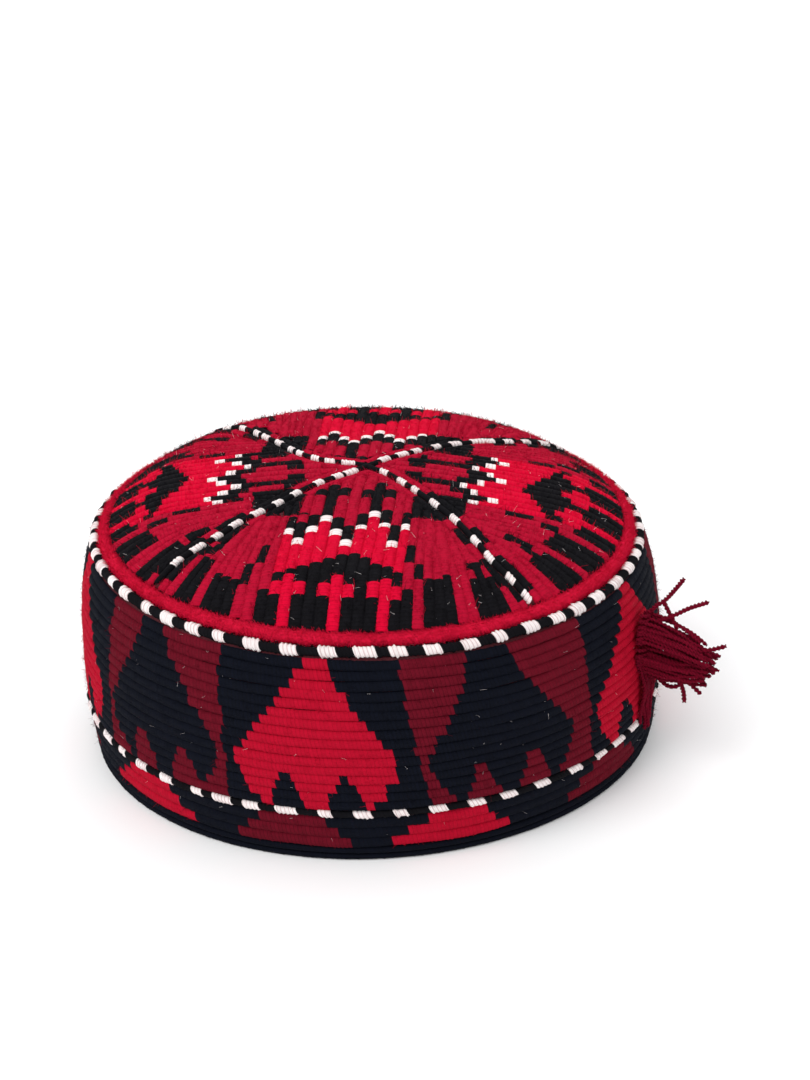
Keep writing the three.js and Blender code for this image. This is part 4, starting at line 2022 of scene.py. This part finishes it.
    def body_path(self, rng: Random) -> Array:
        """Lay out a thread of the body, from a random place of the root outwards.

        Args:
            rng: Random numbers.

        Returns:
            Points along the thread.
        """
        t = np.linspace(0, 1, 14)
        half_height, half_width = self.root_height / 2, self.root_width / 2
        angle = rng.uniform(0, 2 * math.pi)
        spread = math.sqrt(rng.uniform(*self.crowding))
        up, along = spread * math.sin(angle), spread * math.cos(angle)
        reach = self.reach * rng.uniform(*self.reaches) * (1.0 - self.shorter * abs(up))
        tip_up = self.closing[0] * up * half_height - rng.uniform(*self.droop)
        tip_along = self.closing[1] * along * half_width
        wave = self.wave * np.sin(2 * math.pi * t * rng.uniform(*self.waves) + rng.uniform(0, 6)) * t
        out = reach * (1.15 * t - 0.15 * t**2)
        swell = self.bulge * np.sin(math.pi * t) * up
        rise = up * half_height * 0.95 * (1 - t) + tip_up * t + swell + wave
        beside = along * half_width * (1 - t) + tip_along * t + np.roll(wave, 3) * t
        return self.point(out, beside, rise)

    def loose(self, sheet: MeshSheet, rng: Random, number: int) -> int:
        """Add the threads that come away from the body, and those that hang over the wall.

        Args:
            sheet: The sheet.
            rng: Random numbers.
            number: Number of the first thread.

        Returns:
            The number after the last one.
        """
        # Points of each thread from the root on: out of the wall, along it and up.
        strands = (
            ((1, 1, 10), (4.2, 1, 14.6), (7.6, 1, 18.0), (13.6, 0, 27.3)),
            ((4, 0, 9), (10.5, 0, 13.0), (15.3, 1, 16.3), (21.5, 1, 20)),
            ((6.5, 1, 17.4), (7.5, 1, 15.2), (8.8, 1, 12.8), (12, 0, 8)),
            ((15, 0, 0.8), (22.2, 0, 2.5), (27.8, 1, 4.9)),
            ((14, 1, -6), (19.8, 0, -9.4), (22.0, 0, -11.6)),
            ((12, -1, -7), (17.0, -1, -11.2), (20.6, -1, -14.4)),
            ((11, -1, -7), (13.4, -1, -11.4), (14.4, 0, -15.5), (14.8, 0, -19.6)),
            ((3, 1, -10), (6.4, 1, -13.4), (9.6, 0, -14.4), (12.6, 0, -13.4), (14.6, -1, -9.5)),
            ((2, -2, -7.5), (2.5, -1, -17.5), (2.2, 0, -25.5), (2.2, 1, -32.5)),
            ((2, 1, -8.5), (2.8, 1.5, -16.5), (2.2, 2.5, -24.5), (2.0, 2.2, -30.5)),
        )
        for knots in strands:
            given = np.array(knots, float)
            at = np.linspace(0, len(given) - 1, 5 * len(given))
            table = [tuple(zip(range(len(given)), given[:, k])) for k in range(3)]
            out, along, up = (smooth_value(column, at) for column in table)
            path = self.point(out, along, up)
            self.thread(sheet, path, number, rng.uniform(0, 6), self.loose_radius)
            number += 1
        drop = np.linspace(0, 1, 12)
        off_wall, swell = self.hanging_swell
        over_edge = np.sin(math.pi * np.minimum(drop * 1.4, 1.0))
        for beside in np.linspace(*self.hanging_from, self.hanging):
            length = rng.uniform(*self.hanging_drop)
            out = off_wall + swell * over_edge + rng.uniform(0, 0.5)
            drift = rng.normal(0, 0.8) * drop
            along = beside * self.root_width / 2 + drift + 0.5 * np.sin(5 * drop + number)
            path = self.point(out, along, -self.hanging_foot * self.root_height - length * drop)
            self.thread(sheet, path, number, rng.uniform(0, 6), self.thread_radius)
            number += 1
        return number

    def head(self, sheet: MeshSheet, rng: Random, number: int) -> None:
        """Add the threads that tie the root to the wall.

        Args:
            sheet: The sheet.
            rng: Random numbers.
            number: Number of the first of them.
        """
        turns = np.linspace(0, math.pi, 9)
        last = self.head_threads - 1
        for k in range(self.head_threads):
            up = (k / last * 2 - 1) * self.head_part * self.root_height / 2 + rng.normal(0, 0.3)
            half = self.root_width / 2 * math.sqrt(1 - (up / (self.root_height / 2)) ** 2)
            out = 0.2 + self.head_rise * np.sin(turns) * math.sqrt(max(half, 0.1) / self.root_width * 2)
            path = self.point(out, half * np.cos(turns), up + self.head_slant * np.cos(turns + k))
            self.thread(sheet, path, number + k, rng.uniform(0, 6), self.thread_radius)


@dataclass(frozen=True)
class Studio:
    """Floor, soft light and the camera at the photo's angle.

    Attributes:
        camera: Place of the camera in the shared frame, in millimetres.
        right: Direction of the picture's right.
        up: Direction of its top.
        lens: Focal length over the sensor's width.
        sensor: Width of the sensor.
        key: Direction to the wide sun, its angle in degrees and its strength.
        fill: Place of the soft light beside the camera in metres, its side and its power in watts.
        back: The same for the one behind the cap.
        aim: What both are turned to, in metres.
        sky: Colour and strength of the white room round the cap.
        paper: Colour and roughness of the pale paper that it stands on.
        reach: Half the floor's width, in metres.
    """

    camera: tuple = (-7.98, -590.48, 326.77)
    right: tuple = (0.99871, -0.03824, -0.03351)
    up: tuple = (0.04616, 0.40548, 0.91294)
    lens: float = 63.33
    sensor: float = 36.0
    key: tuple = ((-0.8, -0.5, 1.1), 40.0, 1.3)
    fill: tuple = ((0.95, -0.8, 0.75), 1.2, 1.0)
    back: tuple = ((0.1, 0.8, 1.2), 1.0, 3.0)
    aim: tuple = (0.0, 0.0, 0.05)
    sky: tuple = ("#fefeff", 0.95)
    paper: tuple = ("#fafafa", 0.9)
    reach: float = 30.0

    def build(self) -> None:
        """Make the floor, the lights, the world and the camera."""
        self.floor()
        self.sun("key_light", *self.key)
        self.area("fill_light", *self.fill)
        self.area("back_light", *self.back)
        world = bpy.data.worlds.new("studio")
        world.use_nodes = True
        shade = world.node_tree.nodes["Background"]
        shade.inputs[0].default_value = linear(self.sky[0])
        shade.inputs[1].default_value = self.sky[1]
        bpy.context.scene.world = world
        bpy.context.scene.view_settings.view_transform = "Standard"
        right, up = Vector(self.right), Vector(self.up)
        data = bpy.data.cameras.new("photo_view")
        data.lens = self.lens
        data.sensor_width = self.sensor
        camera = bpy.data.objects.new("photo_view", data)
        bpy.context.scene.collection.objects.link(camera)
        turn = Matrix((right, up, right.cross(up))).transposed().to_4x4()
        camera.matrix_world = Matrix.Translation(Vector(self.camera) * MM) @ turn
        bpy.context.scene.camera = camera
        LOG.info("studio: camera and lights")

    def floor(self) -> None:
        """Make the floor of plain matt paper, which takes a soft shadow and shows no gloss."""
        mesh = bpy.data.meshes.new("floor")
        reach = self.reach
        corners = [(-reach, -reach, 0), (reach, -reach, 0), (reach, reach, 0), (-reach, reach, 0)]
        mesh.from_pydata(corners, [], [(0, 1, 2, 3)])
        made = bpy.data.objects.new("floor", mesh)
        bpy.context.scene.collection.objects.link(made)
        paper = bpy.data.materials.new("pale_paper")
        paper.use_nodes = True
        shader = paper.node_tree.nodes["Principled BSDF"]
        shader.inputs["Base Color"].default_value = linear(self.paper[0])
        shader.inputs["Roughness"].default_value = self.paper[1]
        mesh.materials.append(paper)

    def sun(self, name: str, towards: tuple, softness: float, strength: float) -> None:
        """Add a wide sun, which lights the whole floor alike.

        Args:
            name: Its name.
            towards: Direction to it.
            softness: Angle that it covers, in degrees.
            strength: Its strength in watts per square metre.
        """
        data = bpy.data.lights.new(name, "SUN")
        data.angle = math.radians(softness)
        data.energy = strength
        light = bpy.data.objects.new(name, data)
        bpy.context.scene.collection.objects.link(light)
        light.rotation_euler = (-Vector(towards)).to_track_quat("-Z", "Y").to_euler()

    def area(self, name: str, place: tuple, size: float, power: float) -> None:
        """Add a soft light that faces the cap.

        Args:
            name: Its name.
            place: Where it stands, in metres.
            size: Its side.
            power: Its power in watts.
        """
        data = bpy.data.lights.new(name, "AREA")
        data.size = size
        data.energy = power
        light = bpy.data.objects.new(name, data)
        bpy.context.scene.collection.objects.link(light)
        light.location = place
        aim = Vector(self.aim) - Vector(place)
        light.rotation_euler = aim.to_track_quat("-Z", "Y").to_euler()


def main() -> None:
    """Build the cap's pieces in order, then the studio."""
    logging.basicConfig(level=logging.INFO, format="%(name)s %(message)s")
    low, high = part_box("seam_piping")
    form = CapForm(axis_x=(low.x + high.x) / 2 / MM)
    flosses = [floss.material() for floss in FLOSSES]
    cloth = INNER_CLOTH.material()
    Studio().build()
    Crown(form).build(flosses, cloth)
    for line in DIVIDERS:
        DividerCord(form, line).build(flosses)
    RimCord(form).build(WOOL_FUZZ.material())
    DashedRing.piping(form).build(flosses)
    band_flosses = list(flosses)
    # The band's red is darker: painted shade for the upright band.
    band_flosses[Dye.BRIGHT_RED] = BAND_RED.material()
    band_flosses[Dye.BLACK] = BAND_BLACK.material()
    SideBand(form).build(band_flosses, cloth)
    DashedRing.lower(form).build(flosses)
    HemBinding(form).build(band_flosses)
    Tassel(form).build(TASSEL_FLOSS.material())


if __name__ == "__main__":
    main()
